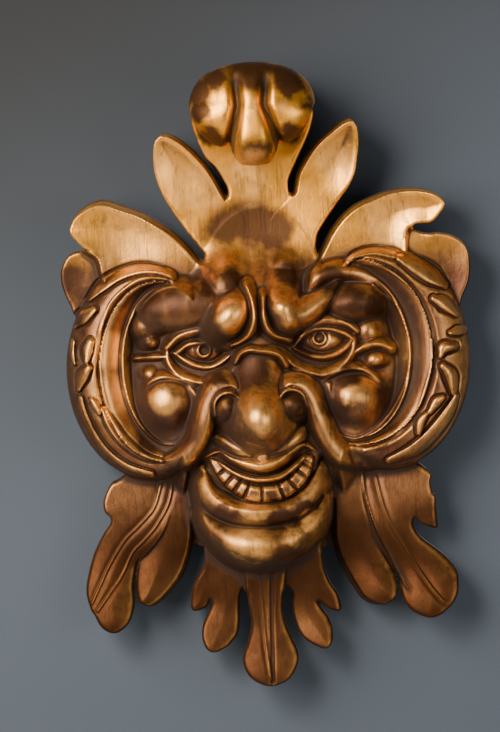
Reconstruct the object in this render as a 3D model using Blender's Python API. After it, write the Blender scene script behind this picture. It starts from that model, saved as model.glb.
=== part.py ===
"""Carved wooden satyr mask, one block, made to hang with its flat back against a wall.

The front is one carved relief: how far each point (x, z) of the face plane stands forward of the wall.
Leaves, ears, brows, nose and lips are each a small function of that plane, and the highest one shows.
Metres, +Z up. The wall is the plane y = 0, the mask looks along -Y, and the origin is on its back.
"""

import math

import bpy
import numpy as np

# Driving sizes, in metres
HEIGHT = 0.482  # top of the scroll to the tip of the beard
RELIEF = 0.122  # wall to the tip of the nose
LEAF_THICKNESS = 0.013  # a leaf's tip, front to back
EDGE_ROUND = 0.0028  # rounding along the front edges
LIFT_START = 0.004  # how far outside the flat back the leaves begin to leave the wall
LIFT_SLOPE = 0.55  # how fast they leave it
STEP = 0.0021  # spacing of the carving grid
TRIANGLES = 7500  # faces kept on the relief before the scroll is joined

NODE = "carved_satyr_mask"

# The carving is laid out in parts: 482 parts in the height, and 122 parts of depth from wall to nose
PART = HEIGHT / 482
DEEP = RELIEF / 122
FAR = -1000.0

# Outlines and places were picked on the photograph, in its pixels: parts in a pixel, the pixel of the
# object's axis, and its turn there
PIXEL = 0.776
PICTURE_AXIS = (265, 366)
PICTURE_SHIFT = 4
PICTURE_TURN = math.radians(2.6)

# Each leaf: outline, root and tip, depths between them, cupping, flare of its side wall, in pixels and parts
CROWN_LEAVES = {
    "scroll_stem": (
        (
            (190, 110), (193, 129.5), (198.7, 145), (205.7, 159), (215.5, 169), (222.5, 180), (227.5, 190),
            (228, 198), (225, 203.5), (215, 215), (230, 260), (300, 255), (300, 215), (291, 198),
            (288.2, 191), (288.2, 181.5), (292.5, 170), (299.5, 154.7), (306.5, 139.3), (310.7, 126.7),
            (312.5, 114), (308, 92), (290, 75), (250, 68), (212, 75), (195, 90),
        ),
        ((262, 240), (250, 75)), (0, 0, 4, 16), 4, (0, 0),
    ),
    "left_petal": (
        (
            (162, 138.8), (156, 143.7), (154, 156.3), (154.5, 170.3), (158, 184.4), (165, 200),
            (173.5, 214), (183.3, 228), (191.7, 239), (198.7, 247.5), (204.5, 255), (207, 262), (235, 262),
            (245, 225), (232, 206), (224.5, 202.5), (218.4, 193), (212.8, 183), (204.3, 170.3),
            (193, 157.7), (182, 148), (170.7, 141),
        ),
        ((228, 235), (162, 139)), (0, 0, 2, 10), 5, (2.4, 2.8),
    ),
    "right_petal": (
        (
            (352, 123.2), (356.3, 131), (357.7, 146.3), (356.3, 160.3), (354.2, 174.4), (348, 188.4),
            (339, 201), (330.3, 213.7), (322, 226.3), (317, 236), (315.6, 248.7), (317, 260), (300, 270),
            (275, 262), (270, 225), (285, 205), (292.4, 198.5), (296.5, 195.5), (298.1, 187),
            (300.2, 177.2), (305, 167.4), (310.7, 157.5), (319.1, 146.3), (330.3, 136.5), (343, 126.7),
        ),
        ((292, 230), (352, 123)), (0, 0, 2, 10), 5, (-2.4, 2.8),
    ),
    "left_fan": (
        (
            (198.7, 265.8), (190.3, 256), (180.5, 246), (169.3, 236.3), (153.8, 226.5), (139.8, 218.7),
            (125.8, 213.8), (106, 207.5), (93.5, 209), (81, 216.6), (72.5, 226.5), (71.7, 235),
            (78, 243.3), (84, 249), (91, 253.5), (100, 262), (110, 290), (150, 310), (215, 300),
            (225, 275), (206, 268),
        ),
        ((205, 290), (80, 220)), (0, 0, -1, 4), 4, (1.6, 4.6),
    ),
    "left_fan_lobe": (
        (
            (92, 254), (78, 254.5), (68, 260), (62, 273), (62, 284), (65.4, 295), (71, 306.5), (80, 320),
            (120, 330), (140, 290), (120, 262),
        ),
        ((120, 290), (64, 275)), (-4, -7, -8), 2, (0, 1.5),
    ),
    "right_fan": (
        (
            (319.5, 262.5), (326, 250), (333, 236), (343, 222), (355.6, 210.8), (371, 203), (386.5, 196.8),
            (403.3, 193.3), (418.7, 193.3), (431.4, 196), (441, 201), (443.3, 206.6), (438.4, 215),
            (430, 223.5), (416, 225), (411, 228), (405, 235), (400, 280), (350, 300), (300, 300),
            (305, 275), (317, 266),
        ),
        ((325, 285), (440, 200)), (0, 0, -1, 4), 4, (-2.4, 3.2),
    ),
    "right_fan_lobe": (
        (
            (411, 229), (417.3, 233.3), (428.6, 235.4), (438.4, 234.7), (451, 237.5), (462.2, 244.5),
            (467.8, 254.3), (469.2, 268.4), (467.8, 282.4), (462.2, 296.4), (455, 310), (420, 320),
            (395, 290), (398, 250),
        ),
        ((410, 280), (467, 262)), (-4, -6, -5), 2, (0, 1),
    ),
}
LOWER_LEAVES = {
    "left_long_lobe": (
        (
            (150, 455), (122, 479), (112, 484.5), (106.5, 493.5), (103.5, 504), (105, 513.5),
            (110.5, 519.5), (110, 526), (104, 535), (98, 546), (93, 558), (89, 573), (86.5, 587),
            (87, 598), (91, 611), (95, 617), (100.5, 627), (108.5, 633), (116.5, 634), (124.5, 629.5),
            (130.5, 622), (134, 611), (135, 598), (134, 587), (135.5, 575), (138, 565), (150, 552),
            (165, 530), (175, 500), (180, 465),
        ),
        ((160, 470), (108, 633)), (30, 36, 34, 46), -4, (0, 0),
    ),
    "left_inner_lobe": (
        (
            (137.5, 598), (140, 604), (144.5, 606), (151.5, 605.5), (162, 598), (174, 584.5), (182, 571),
            (187.5, 554), (190, 539), (191, 520), (191.5, 504), (193, 491), (195.5, 475), (190, 455),
            (165, 455), (158, 490), (148, 530), (139, 560), (137, 575), (136.5, 588),
        ),
        ((178, 470), (144, 606)), (32, 35, 32, 42), -4, (2.6, -1.6),
    ),
    "right_long_lobe": (
        (
            (410.8, 461), (420, 465.5), (431, 474.5), (430.5, 483.5), (432.5, 493.5), (435.5, 497.5),
            (436.3, 509), (438, 527), (435.5, 529.5), (428.5, 528), (420, 524), (415.5, 518.5), (413, 524),
            (415.5, 531.5), (422, 539.5), (437.5, 551), (448, 560), (457, 571.5), (459, 583), (458, 594.5),
            (453, 604.5), (447.5, 610), (441.5, 615), (432.5, 618.5), (424.5, 617.5), (414.5, 613.5),
            (407, 607), (402.5, 599.5), (400, 587), (399.5, 578), (390, 562), (375, 530), (365, 500),
            (360, 465), (385, 455),
        ),
        ((372, 470), (436, 618)), (30, 36, 34, 46), -4, (0, 0),
    ),
    "right_inner_lobe": (
        (
            (337, 536), (338, 545), (342, 558), (349.5, 573), (358.5, 588), (365, 597), (374, 602.5),
            (384, 604), (393, 602), (397.5, 595), (397.5, 584), (393, 570), (386, 556), (375, 530),
            (365, 500), (360, 465), (330, 460), (333, 480), (336, 507),
        ),
        ((348, 470), (384, 604)), (32, 35, 32, 42), -4, (-3.4, -2),
    ),
    "beard_left": (
        (
            (212, 530), (204.7, 547.6), (204.7, 558), (203, 569.5), (197, 580), (192.5, 590), (191, 600.5),
            (191, 609.5), (194, 613), (200.5, 612), (207, 608.5), (210.5, 601.5), (212, 606),
            (207.5, 616.5), (203.5, 625.5), (202, 635), (203.5, 644), (207.5, 651), (213.5, 653.7),
            (220, 652), (228, 647.5), (235, 639.5), (238.5, 633.5), (239.7, 623), (239.7, 612),
            (239.7, 600.5), (241, 594.5), (243.2, 592.2), (246.5, 593.5), (252, 598), (262, 590),
            (262, 530),
        ),
        ((235, 550), (212, 652)), (40, 34, 33, 42), -2, (0, 0),
    ),
    "beard_right": (
        (
            (318, 530), (321.8, 549.8), (323, 560), (325, 571.5), (330.5, 584.5), (337.3, 594.5),
            (340.7, 604), (341.3, 610.7), (338.4, 613), (329, 610.7), (321, 604), (318, 602.5),
            (319.5, 607.2), (327, 616.5), (331.5, 625.5), (333.3, 636), (332, 644), (328, 649), (321, 649),
            (312, 645), (304, 639.5), (298.2, 631.5), (293.6, 618.7), (292, 607.2), (293, 596),
            (290.8, 591.2), (286.8, 589), (283.5, 592), (278, 598), (268, 590), (268, 530),
        ),
        ((300, 550), (325, 649)), (40, 34, 33, 42), -2, (0, 0),
    ),
    "beard_tongue": (
        (
            (247.5, 594), (248.5, 604), (250.5, 615), (251.5, 627), (247.7, 644), (244.3, 653),
            (243, 661.5), (245.4, 670.5), (251, 678.5), (260.4, 684.2), (270.7, 686.5), (281, 684.2),
            (290.2, 678.4), (297, 667), (298.8, 656.6), (296, 647.4), (291.4, 638), (286.8, 627),
            (284, 617.5), (282.7, 607), (283, 594), (283, 540), (247, 540),
        ),
        ((266, 560), (270, 686)), (44, 40, 42, 50), -3, (0, 0),
    ),
    "left_neck": (
        ((184, 455), (187, 500), (187, 535), (190, 544), (197, 547.5), (206, 546), (216, 535), (216, 455)),
        ((200, 460), (200, 546)), (26, 24, 22), 0, (0, 0),
    ),
    "right_neck": (
        ((312, 455), (312, 535), (320, 546), (328, 548.5), (336, 545), (340, 535), (338, 500), (338, 455)),
        ((328, 460), (328, 546)), (26, 24, 22), 0, (0, 0),
    ),
}

# Each ear ring: outer edge, line of the bright band and rim of the bowl, as centre x, z and half sizes
EAR_RINGS = {
    -1: ((-86.3, -0.6, 64.4, 84.6), (-78.5, -0.2, 45.8, 69.0), (-69.0, 4.0, 36.5, 62.0)),
    1: ((96.5, 2.0, 66.0, 87.0), (75.7, 7.6, 56.6, 71.4), (69.4, 5.5, 45.0, 65.0)),
}
RING_TIPS = {-1: ((50, 66), (30, 62)), 1: ((56, 74), (30, 62))}  # where the upper and lower ends fade out

# Ovals of solid wood between the leaves: centre x, z and half width, height
FOREHEAD = (3, 60, 46, 62)
MIDDLE = (-1, -20, 70, 100)
JAW = (-3, -98, 48, 60)
FLAT_BACK = ((3, -15, 118, 92), (3, 120, 30, 75), (-4, -120, 40, 45))
EYE_SOCKETS = (
    (-43.5, 13, 25, 15, -11), (48, 14.5, 25, 15, -11), (1.5, 20, 12, 16, 6), (0, 51.5, 22, 22, 12),
)

# Round bosses of the face: centre and half sizes in pixels, turn in degrees, foot, rise, blend
BOSSES = {
    "left_outer_brow": (172, 311, 34, 26, 10, 50, 26, 8),
    "left_brow_hump": (226, 289, 16, 18, 0, 60, 13, 7),
    "left_brow": (230, 316, 28, 19, 42, 68, 28, 4),
    "right_outer_brow": (351, 303, 29, 19, 8, 51, 24, 8),
    "left_cheek": (170, 402, 27, 30, 0, 48, 26, 9),
    "right_cheek": (351, 398, 29, 27, 10, 48, 26, 9),
    "left_temple_bead": (151, 343, 8, 7, 0, 50, 8, 2),
    "left_cheek_bead": (152, 375, 9, 8, 0, 50, 9, 3),
    "right_cheek_bead": (373, 360, 10, 8, 20, 50, 9, 3),
    "right_temple_plane": (366, 332, 11, 13, 0, 50, 9, 3),
    "lip_swell": (259, 448, 44, 24, 0, 58, 27, 3),
    "left_nostril": (228.5, 406, 14, 14.5, 0, 76, 20, 2),
    "right_nostril": (291, 403, 14, 14.5, 0, 76, 20, 2),
    "nose_tip": (259.5, 416, 23, 24, 0, 94, 27.5, 4),
}

# Ridges of the face: path and half widths in pixels, depths at the foot, rises, blend, lean
RIDGES = {
    "right_brow": (((281, 284), (281, 303), (286, 319)), (12, 16, 15), (62, 70, 70), (8, 27, 26), 6, 0),
    "right_brow_arm": (
        ((286, 317), (302, 313), (317, 303), (328, 294), (336, 284)), (15, 14, 10, 7, 4),
        (70, 66, 64, 62, 60), (26, 21, 16, 11, 5), 4, 0,
    ),
    "right_brow_arch": (
        ((309, 292), (318, 279), (335, 273), (355, 275), (373, 286)), (6, 9, 10, 9, 6),
        (54, 54, 52, 50, 48), (8, 12, 13, 12, 8), 4, 0,
    ),
    "left_frown": (
        ((247, 287), (252, 301), (254, 319), (249.5, 333), (241, 341), (232, 345)), (2, 3, 3.4, 3.4, 3, 2),
        (80, 84, 86, 82, 76, 72), (5, 7, 7, 7, 6, 4), 1.2, 0,
    ),
    "right_frown": (
        ((263, 296), (263.5, 315), (267, 327), (275, 335), (288, 339)), (2, 3.4, 3.4, 3, 2),
        (82, 86, 84, 80, 74), (5, 7, 7, 6, 4), 1.2, 0,
    ),
    "nose_bridge": (
        ((258, 350), (258, 372), (258, 392), (259, 410)), (12, 11, 12, 15), (68, 74, 80, 86),
        (17, 19, 24, 26), 4, 0,
    ),
    "bridge_arch": (
        ((236, 362), (241, 353), (250, 349), (260, 350), (271, 351), (280, 355), (286, 365)),
        (2, 2.6, 2.8, 2.8, 2.8, 2.6, 2), (76, 80, 84, 85, 84, 80, 76), (5, 6, 6, 6, 6, 6, 5), 1.2, 0,
    ),
    "left_lid": (
        ((168, 348), (179, 337), (193, 332), (207, 331), (220, 338), (232, 346)), (3, 5, 6, 6, 5, 3),
        (58, 60, 62, 64, 66, 68), (5, 8, 9, 9, 7, 4), 1.5, 0,
    ),
    "left_lid_edge": (
        ((179, 352), (190, 344.5), (207, 343), (220, 345), (234, 350)), (2.2, 3.4, 3.6, 3.4, 2.2),
        (60, 62, 63, 64, 66), (4, 6.5, 7, 6.5, 4), 1, 0,
    ),
    "left_lower_lid": (
        ((175, 353), (187, 361), (199, 366), (211, 367), (222, 362), (233, 353)),
        (2, 2.6, 2.8, 2.8, 2.6, 2), (58, 60, 61, 62, 64, 66), (4, 6, 6.5, 6.5, 6, 4), 0.8, 0,
    ),
    "left_eye_bag": (
        ((168, 349), (169, 361), (177, 373), (191, 380), (206, 382.5), (221, 379), (233, 370), (238, 355)),
        (2.4, 3, 3.4, 3.6, 3.6, 3.4, 3, 2.4), (56, 58, 60, 63, 65, 67, 70, 72), (5, 6, 7, 7, 7, 7, 6, 5),
        1.2, 0,
    ),
    "right_lid": (
        ((300, 337), (309, 327), (321, 321), (334, 320.5), (346, 324), (356, 331)), (3, 5, 6, 6, 5, 3),
        (66, 64, 62, 62, 60, 58), (5, 8, 9, 9, 8, 5), 1.5, 0,
    ),
    "right_lid_edge": (
        ((293, 347), (303, 335), (315, 329), (330, 329), (343, 333), (352, 339)),
        (2.2, 3.2, 3.2, 3.2, 3, 2.2), (66, 64, 63, 62, 61, 60), (4, 6, 6, 6, 6, 4), 1, 0,
    ),
    "right_lower_lid": (
        ((295, 349), (306, 354), (320, 357), (334, 354), (345, 347), (352, 338)),
        (2, 2.6, 2.8, 2.8, 2.6, 2), (66, 64, 62, 61, 60, 58), (4, 6, 6.5, 6.5, 6, 4), 0.8, 0,
    ),
    "right_eye_bag": (
        ((286, 357), (294, 365), (307, 371), (321, 374), (334, 370), (345, 361), (352, 349), (353, 334)),
        (2.4, 3, 3.4, 3.6, 3.6, 3.4, 3, 2.4), (72, 70, 67, 65, 63, 60, 58, 56), (5, 6, 7, 7, 7, 7, 6, 5),
        1.2, 0,
    ),
    "left_crow_foot": (
        ((136, 359), (150, 357.5), (166, 357)), (2.4, 3.4, 2.6), (48, 52, 56), (4, 6, 4), 1.5, 0,
    ),
    "right_crow_foot": (
        ((353, 353), (364, 346), (377, 344), (390, 349)), (3, 5, 5, 4), (56, 54, 52, 48), (4, 7, 7, 5), 2,
        0,
    ),
    "left_cheek_arc": (
        ((147, 396), (150, 384), (163, 377), (180, 379), (196, 386)), (3, 5, 5.5, 5, 3),
        (50, 54, 58, 60, 62), (5, 8, 9, 7, 4), 3, 0,
    ),
    "right_cheek_arc": (
        ((322, 381), (335, 372), (350, 368), (364, 370), (378, 381)), (3, 5, 6, 5, 4),
        (60, 58, 56, 54, 50), (5, 9, 10, 9, 6), 3, 0,
    ),
    "left_cheek_side": (
        ((190, 386), (198, 398), (199, 415), (192, 430)), (5, 7, 8, 5), (60, 60, 58, 54), (6, 10, 10, 6),
        3, 0,
    ),
    "right_cheek_side": (((328, 384), (331, 400), (337, 417)), (5, 7, 5), (60, 58, 54), (6, 9, 6), 3, 0),
    "left_smile_fold": (
        (
            (241, 391), (231, 384), (219, 388), (211, 402), (207, 421), (200, 441), (186, 458), (166, 467),
            (143, 471),
        ),
        (2.5, 4, 6, 8, 10, 10, 10, 9, 7), (84, 84, 78, 72, 68, 62, 57, 52, 48),
        (3, 7, 11, 15, 18, 18, 17, 14, 10), 3, 0.3,
    ),
    "right_smile_fold": (
        (
            (280, 390), (289, 383), (300, 386), (308, 398), (315, 418), (325, 440), (340, 456), (362, 463),
            (386, 462),
        ),
        (2.5, 4, 6, 8, 10, 10, 10, 9, 7), (84, 84, 78, 72, 68, 62, 57, 52, 48),
        (3, 7, 11, 15, 18, 18, 17, 14, 10), 3, -0.3,
    ),
    "left_wing_rim": (
        ((216, 414), (215.5, 401), (222, 392.5), (232, 391), (240, 397)), (1.2, 1.6, 1.8, 1.8, 1.2),
        (84, 88, 90, 92, 92), (3, 4, 4, 4, 3), 0.8, 0,
    ),
    "right_wing_rim": (
        ((279, 396), (285, 389), (294, 388), (302, 393), (306, 404)), (1.2, 1.8, 1.8, 1.6, 1.2),
        (92, 92, 90, 88, 84), (3, 4, 4, 4, 3), 0.8, 0,
    ),
    "upper_lip": (
        (
            (207, 455), (220, 450), (231, 456), (246.5, 461), (262, 463.5), (278, 458), (291, 449),
            (303, 443), (315, 449),
        ),
        (3, 4, 5, 6, 6.5, 6, 5, 4, 3), (62, 68, 74, 79, 80, 79, 74, 68, 62), (4, 7, 8, 9, 10, 9, 8, 7, 4),
        2, 0,
    ),
    "lower_lip": (
        (
            (203, 466), (206, 488), (215, 502), (228, 510.5), (243, 516.5), (261, 518.5), (282, 515.5),
            (300, 505.5), (314, 492), (322, 472),
        ),
        (4, 7, 9, 11, 12, 12, 11, 9, 7, 4), (58, 62, 66, 69, 70, 70, 69, 66, 62, 58),
        (6, 12, 16, 18, 19, 19, 18, 16, 12, 6), 3, 0,
    ),
    "chin": (
        ((199, 511), (207, 528), (226, 540), (248, 545), (272, 544), (297, 536), (318, 521), (330, 506)),
        (3, 12, 18, 21, 20, 16, 11, 3), (54, 56, 60, 62, 62, 58, 56, 54), (8, 20, 29, 33, 31, 24, 16, 8),
        2, 0,
    ),
}

# The open mouth's outline, the arc that the teeth follow and where one tooth ends
MOUTH = (
    (209, 456), (221, 460), (234, 467), (247, 472), (262, 474), (280, 469), (296, 458), (307, 450),
    (313, 457), (308, 480), (298, 495), (281, 503), (262, 506), (246, 503), (230, 492), (216, 474),
)
TEETH_ARC = (
    (217, 466), (228, 477), (240, 486), (252, 491), (266, 491.5), (282, 488), (296, 477), (308, 462),
)
TOOTH_GAPS = (222.5, 230, 237.6, 246.5, 262, 281, 292, 301, 306)

# Each eye: centre and half sizes of the ball, and centre of the pupil, in pixels
EYES = {"left": (206, 350, 22, 13.5, 204.4, 350.5), "right": (320, 341, 24, 15, 318.6, 338)}

# Recessed strips between the side leaves and the jaw, in pixels
STRIPS = {
    "left_strip": ((198, 462), (194, 490), (193, 515), (196, 538)),
    "right_strip": ((326, 462), (333, 488), (333, 515), (330, 543)),
}

# Other sizes of the carving, in parts
FLANK = 0.8  # where a boss's round top turns into its straight flank
IRIS = 6.8
PUPIL = 3.5
TOOTH_HALF = 6.4
STRIP_DEPTH = 30
HALF_LEAF = 18  # half the width of a leaf, over which its rim is raised or lowered
WALL_SLOPE = 3  # how steeply a leaf's flared side wall falls
LEAF_TOP = 60  # the highest that a leaf stands
REACH = LEAF_TOP / WALL_SLOPE  # a leaf's side wall falls to the wall plane in this distance
# The face's low dome, its blend into the crown, the dished crown sheet, and the row of teeth
DOME, DOME_FOOT, DOME_RISE = (-1, -30, 114, 132), 38, 34
FOREHEAD_BLEND = (35, 65)
CROWN_DEPTH, NECK_RISE = 46, 6
DISH_DEPTH, DISH_HEIGHT, DISH_ACROSS, DISH_UP = 4, 110, 34, 24
TOOTH_DEPTH, TOOTH_BOW, GUM_SUNK = 64, 16, 7


# The scroll: centre of its roll, its radius, and its sides and creases from its bottom (-1) to its top (1)
SCROLL_CENTRE = (2, 200)
SCROLL_DEPTH = 74
SCROLL_RADIUS = 33
TONGUE_HANG = 15  # how far the middle tongue hangs below the two bulbs
CREASE_DEPTH = 9
CREASE_WIDTH = 4
SCROLL_LEVELS = (-1, -0.5, 0, 1)
SCROLL_LEFT = (-36, -43, -48, -48)
SCROLL_RIGHT = (34, 42, 48, 48)
LEFT_CREASE = (-18, -14, -11, -13)
RIGHT_CREASE = (19, 14, 9, 12)

# Reach of the carving grid, across and up, in parts
GRID_ACROSS = (-156, 172)
GRID_UP = (-254, 233)


def place(pixels):
    """Pixels of the photograph as (x, z) in parts: moved to the object's axis, turned upright and scaled."""
    px, py = np.asarray(pixels, float).T
    dx, dy = px - PICTURE_AXIS[0], py - PICTURE_AXIS[1]
    c, s = math.cos(PICTURE_TURN), math.sin(PICTURE_TURN)
    return np.stack([(dx * c - dy * s + PICTURE_SHIFT) * PIXEL, -(dx * s + dy * c) * PIXEL], -1)


def curve(points, samples=40):
    """A smooth curve through the points: the Catmull-Rom cubic, at even steps from the first to the last."""
    p = np.asarray(points, float)
    p = np.vstack([2 * p[0] - p[1], p, 2 * p[-1] - p[-2]])
    t = np.linspace(0, len(p) - 3 - 1e-9, samples)
    i = t.astype(int)
    f = (t - i)[:, None]
    a, b, c, d = p[i], p[i + 1], p[i + 2], p[i + 3]
    cubic = 3 * b - a - 3 * c + d
    return 0.5 * (2 * b + (c - a) * f + (2 * a - 5 * b + 4 * c - d) * f**2 + cubic * f**3)


def along(values, t):
    """A value that runs smoothly through the given values as t goes from 0 to 1."""
    line = curve([(i, v) for i, v in enumerate(values)])[:, 1]
    return np.interp(t, np.linspace(0, 1, len(line)), line)


def ramp(low, high, value):
    t = np.clip((value - low) / (high - low), 0, 1)
    return t * t * (3 - 2 * t)


def bell(value, width):
    return np.exp(-((value / width) ** 2))


def join(a, b, blend):
    """The higher of two depths, rounded where they meet."""
    h = np.clip(0.5 + 0.5 * (a - b) / blend, 0, 1)
    return b + (a - b) * h + blend * h * (1 - h)


def box_around(x, z, line, reach):
    low, high = line.min(0) - reach, line.max(0) + reach
    return (x > low[0]) & (x < high[0]) & (z > low[1]) & (z < high[1])


def nearest(x, z, line, reach):
    """How far along the line each point's nearest spot is, from 0 to 1, its distance and its side."""
    t = np.zeros_like(x)
    distance = np.full_like(x, -FAR)
    side = np.zeros_like(x)
    here = box_around(x, z, line, reach)
    px, pz = x[here], z[here]
    best = np.full(px.shape, 1e9)
    best_t = np.zeros_like(px)
    best_side = np.zeros_like(px)
    for i, (start, step) in enumerate(zip(line, np.diff(line, axis=0))):
        ax, az = px - start[0], pz - start[1]
        f = np.clip((ax * step[0] + az * step[1]) / (step @ step), 0, 1)
        square = (ax - f * step[0]) ** 2 + (az - f * step[1]) ** 2
        closer = square < best
        best = np.where(closer, square, best)
        best_t = np.where(closer, (i + f) / (len(line) - 1), best_t)
        best_side = np.where(closer, np.sign(step[0] * az - step[1] * ax), best_side)
    t[here] = best_t
    distance[here] = np.sqrt(best)
    side[here] = best_side
    return t, distance, side


def inside(x, z, outline, reach):
    """Distance to a closed outline, positive inside it and never below -reach."""
    signed = np.full_like(x, -reach)
    here = box_around(x, z, outline, reach)
    px, pz = x[here], z[here]
    best = np.full(px.shape, 1e9)
    within = np.zeros(px.shape, bool)
    for start, end in zip(outline, np.roll(outline, -1, 0)):
        step = end - start
        f = np.clip(((px - start[0]) * step[0] + (pz - start[1]) * step[1]) / (step @ step + 1e-12), 0, 1)
        best = np.minimum(best, (px - start[0] - f * step[0]) ** 2 + (pz - start[1] - f * step[1]) ** 2)
        if step[1] != 0:
            level = (start[1] > pz) != (end[1] > pz)
            within ^= level & (px < start[0] + (pz - start[1]) * step[0] / step[1])
    signed[here] = np.maximum(np.where(within, 1, -1) * np.sqrt(best), -reach)
    return signed


def oval(x, z, shape):
    """Distance-like share of an oval: 1 on its edge, 0 at its centre."""
    cx, cz, rx, rz = shape
    return np.hypot((x - cx) / rx, (z - cz) / rz)


def cap(q):
    """Round on top, sqrt(1 - q^2), then straight down its flanks from q = FLANK on."""
    level = math.sqrt(1 - FLANK**2)
    return np.where(q < FLANK, np.sqrt(np.clip(1 - q * q, 0, 1)), level - (q - FLANK) * FLANK / level)


def leaf(x, z, outline, spine, depths, cup, flare):
    """Distances inside a leaf's front edge and inside its flared side wall, and its depth.

    The depth runs along the spine from root to tip, and cup * (1 - share)^2 raises or lowers the rim, share
    being the distance from the edge over half a leaf's width. That fades at the root. The side wall is the
    front's outline pushed by the flare.
    """
    edge = curve(place((*outline, outline[0])), 5 * len(outline))[:-1]
    signed = inside(x, z, edge, REACH)
    pushed = inside(x - flare[0], z - flare[1], edge, REACH) if any(flare) else signed
    root, tip = place(spine)
    heading = (tip - root) / ((tip - root) @ (tip - root))
    t = np.clip((x - root[0]) * heading[0] + (z - root[1]) * heading[1], 0, 1)
    share = np.clip(signed / HALF_LEAF, 0, 1)
    rim = cup * (1 - share) ** 2 * ramp(0.3, 0.6, t)
    return signed, np.maximum(signed, pushed), along(depths, t) + rim


def boss(x, z, px, py, rx, ry, turn, foot, rise):
    """An egg standing out of the surface: foot + rise * cap(q), q being the share of its turned oval."""
    cx, cz = place((px, py))
    c, s = math.cos(math.radians(turn)), math.sin(math.radians(turn))
    u = ((x - cx) * c + (z - cz) * s) / (rx * PIXEL)
    v = ((z - cz) * c - (x - cx) * s) / (ry * PIXEL)
    return foot + rise * cap(np.hypot(u, v))


def ridge(x, z, path, widths, feet, rises, lean=0):
    """A tapering roll along a path: foot + rise * cap(distance / width), steeper on one side if it leans."""
    t, distance, side = nearest(x, z, curve(place(path), 12 * len(path)), 30)
    q = distance / (along(widths, t) * PIXEL * (1 - lean * side))
    return np.where(distance < -FAR / 2, along(feet, t) + along(rises, t) * cap(q), FAR)


def drawn(x, z, path, width, samples=72):
    """1 along a path and 0 away from it, as the bell curve of the distance."""
    _, distance, _ = nearest(x, z, curve(place(path), samples), 5 * width)
    return bell(distance, width)


def ear_ring(x, z, side):
    """The C-shaped ear: a rolled border, a hollow band and the rim of the bowl, between three ovals."""
    outer, band, bowl = EAR_RINGS[side]
    out, mid, rim = (oval(x, z, shape) for shape in (outer, band, bowl))
    border_share = np.clip((1 - out) / np.maximum((1 - out) + (mid - 1), 1e-3), 0, 1)
    band_share = np.clip((1 - mid) / np.maximum((1 - mid) + (rim - 1), 1e-3), 0, 1)
    border = 36 + 27 * np.clip(1 - (1 - border_share / 0.8) ** 2, 0, 1) ** 0.6
    border = np.where(border_share > 0.8, 63 - 4 * ramp(0.8, 1, border_share), border)
    hollow = 62 - 10 * ramp(0, 0.8, band_share) + 3.5 * ramp(0.8, 0.95, band_share)
    height = np.where(mid > 1, border, hollow)
    height = np.where((rim < 1) & (mid < 1), 55 - 70 * (1 - rim), height)
    height = np.where(out > 1, 36 - 600 * (out - 1), height)
    upper, lower = RING_TIPS[side]
    shown = np.where(z > 0, ramp(*upper, side * x), ramp(*lower, side * x))
    return (1 - out) * outer[2], height * shown + (1 - shown) * 20


def eyeballs(x, z, height):
    """Two balls, each with a drilled pupil in a ring."""
    for px, py, rx, ry, pupil_x, pupil_y in EYES.values():
        height = join(height, boss(x, z, px, py, rx, ry, 0, 50, 17), 1.5)
        cx, cz = place((pupil_x, pupil_y))
        r = np.hypot(x - cx, z - cz)
        height = height - 1.6 * bell(r - IRIS, 1) - 4.5 * ramp(PUPIL + 0.9, PUPIL - 0.9, r)
    return height


def mouth(x, z, height):
    """The open mouth sunk between the lips, with a row of teeth along an arc."""
    outline = curve(place((*MOUTH, MOUTH[0])), 120)[:-1]
    open_here = ramp(-0.6, 0.8, inside(x, z, outline, 6))
    arc = curve(place(TEETH_ARC), 90)
    t, distance, _ = nearest(x, z, arc, REACH)
    gaps = np.interp(TOOTH_GAPS, curve(TEETH_ARC, 90)[:, 0], np.linspace(0, 1, 90))
    gap = np.max([bell(t - at, 0.011) for at in gaps], axis=0)
    plane = TOOTH_DEPTH + TOOTH_BOW * np.clip(1 - ((t - 0.5) / 0.6) ** 2, 0, 1)
    rounding = 4 * gap + 2 * ramp(3.5, 6.5, distance)
    tooth = plane + 4 - rounding - 8 * ramp(TOOTH_HALF, TOOTH_HALF + 1, distance)
    row = join(tooth, plane - GUM_SUNK, 0.6)
    return height * (1 - open_here) + row * open_here


def face(x, z):
    """The grimacing face on a low dome: sockets sunk, then bosses and ridges joined on, then the mouth."""
    height = DOME_FOOT + DOME_RISE * np.clip(1 - oval(x, z, DOME) ** 2, 0, 1)
    for cx, cz, rx, rz, rise in EYE_SOCKETS:
        height = height + rise * np.exp(-(((x - cx) / rx) ** 2) - ((z - cz) / rz) ** 2)
    for path in STRIPS.values():
        height = height - STRIP_DEPTH * drawn(x, z, path, 5)
    height = eyeballs(x, z, height)
    for *shape, blend in BOSSES.values():
        height = join(height, boss(x, z, *shape), blend)
    for name, (*shape, blend, lean) in RIDGES.items():
        if name == "chin":
            height = mouth(x, z, height)
        height = join(height, ridge(x, z, *shape, lean), blend)
    return height


def crown_sheet(x, z):
    """The dished board that all the crown leaves are cut from."""
    dish = DISH_DEPTH * np.exp(-((x / DISH_ACROSS) ** 2) - ((z - DISH_HEIGHT) / DISH_UP) ** 2)
    return CROWN_DEPTH - dish + NECK_RISE * ramp(150, 230, z)


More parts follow.
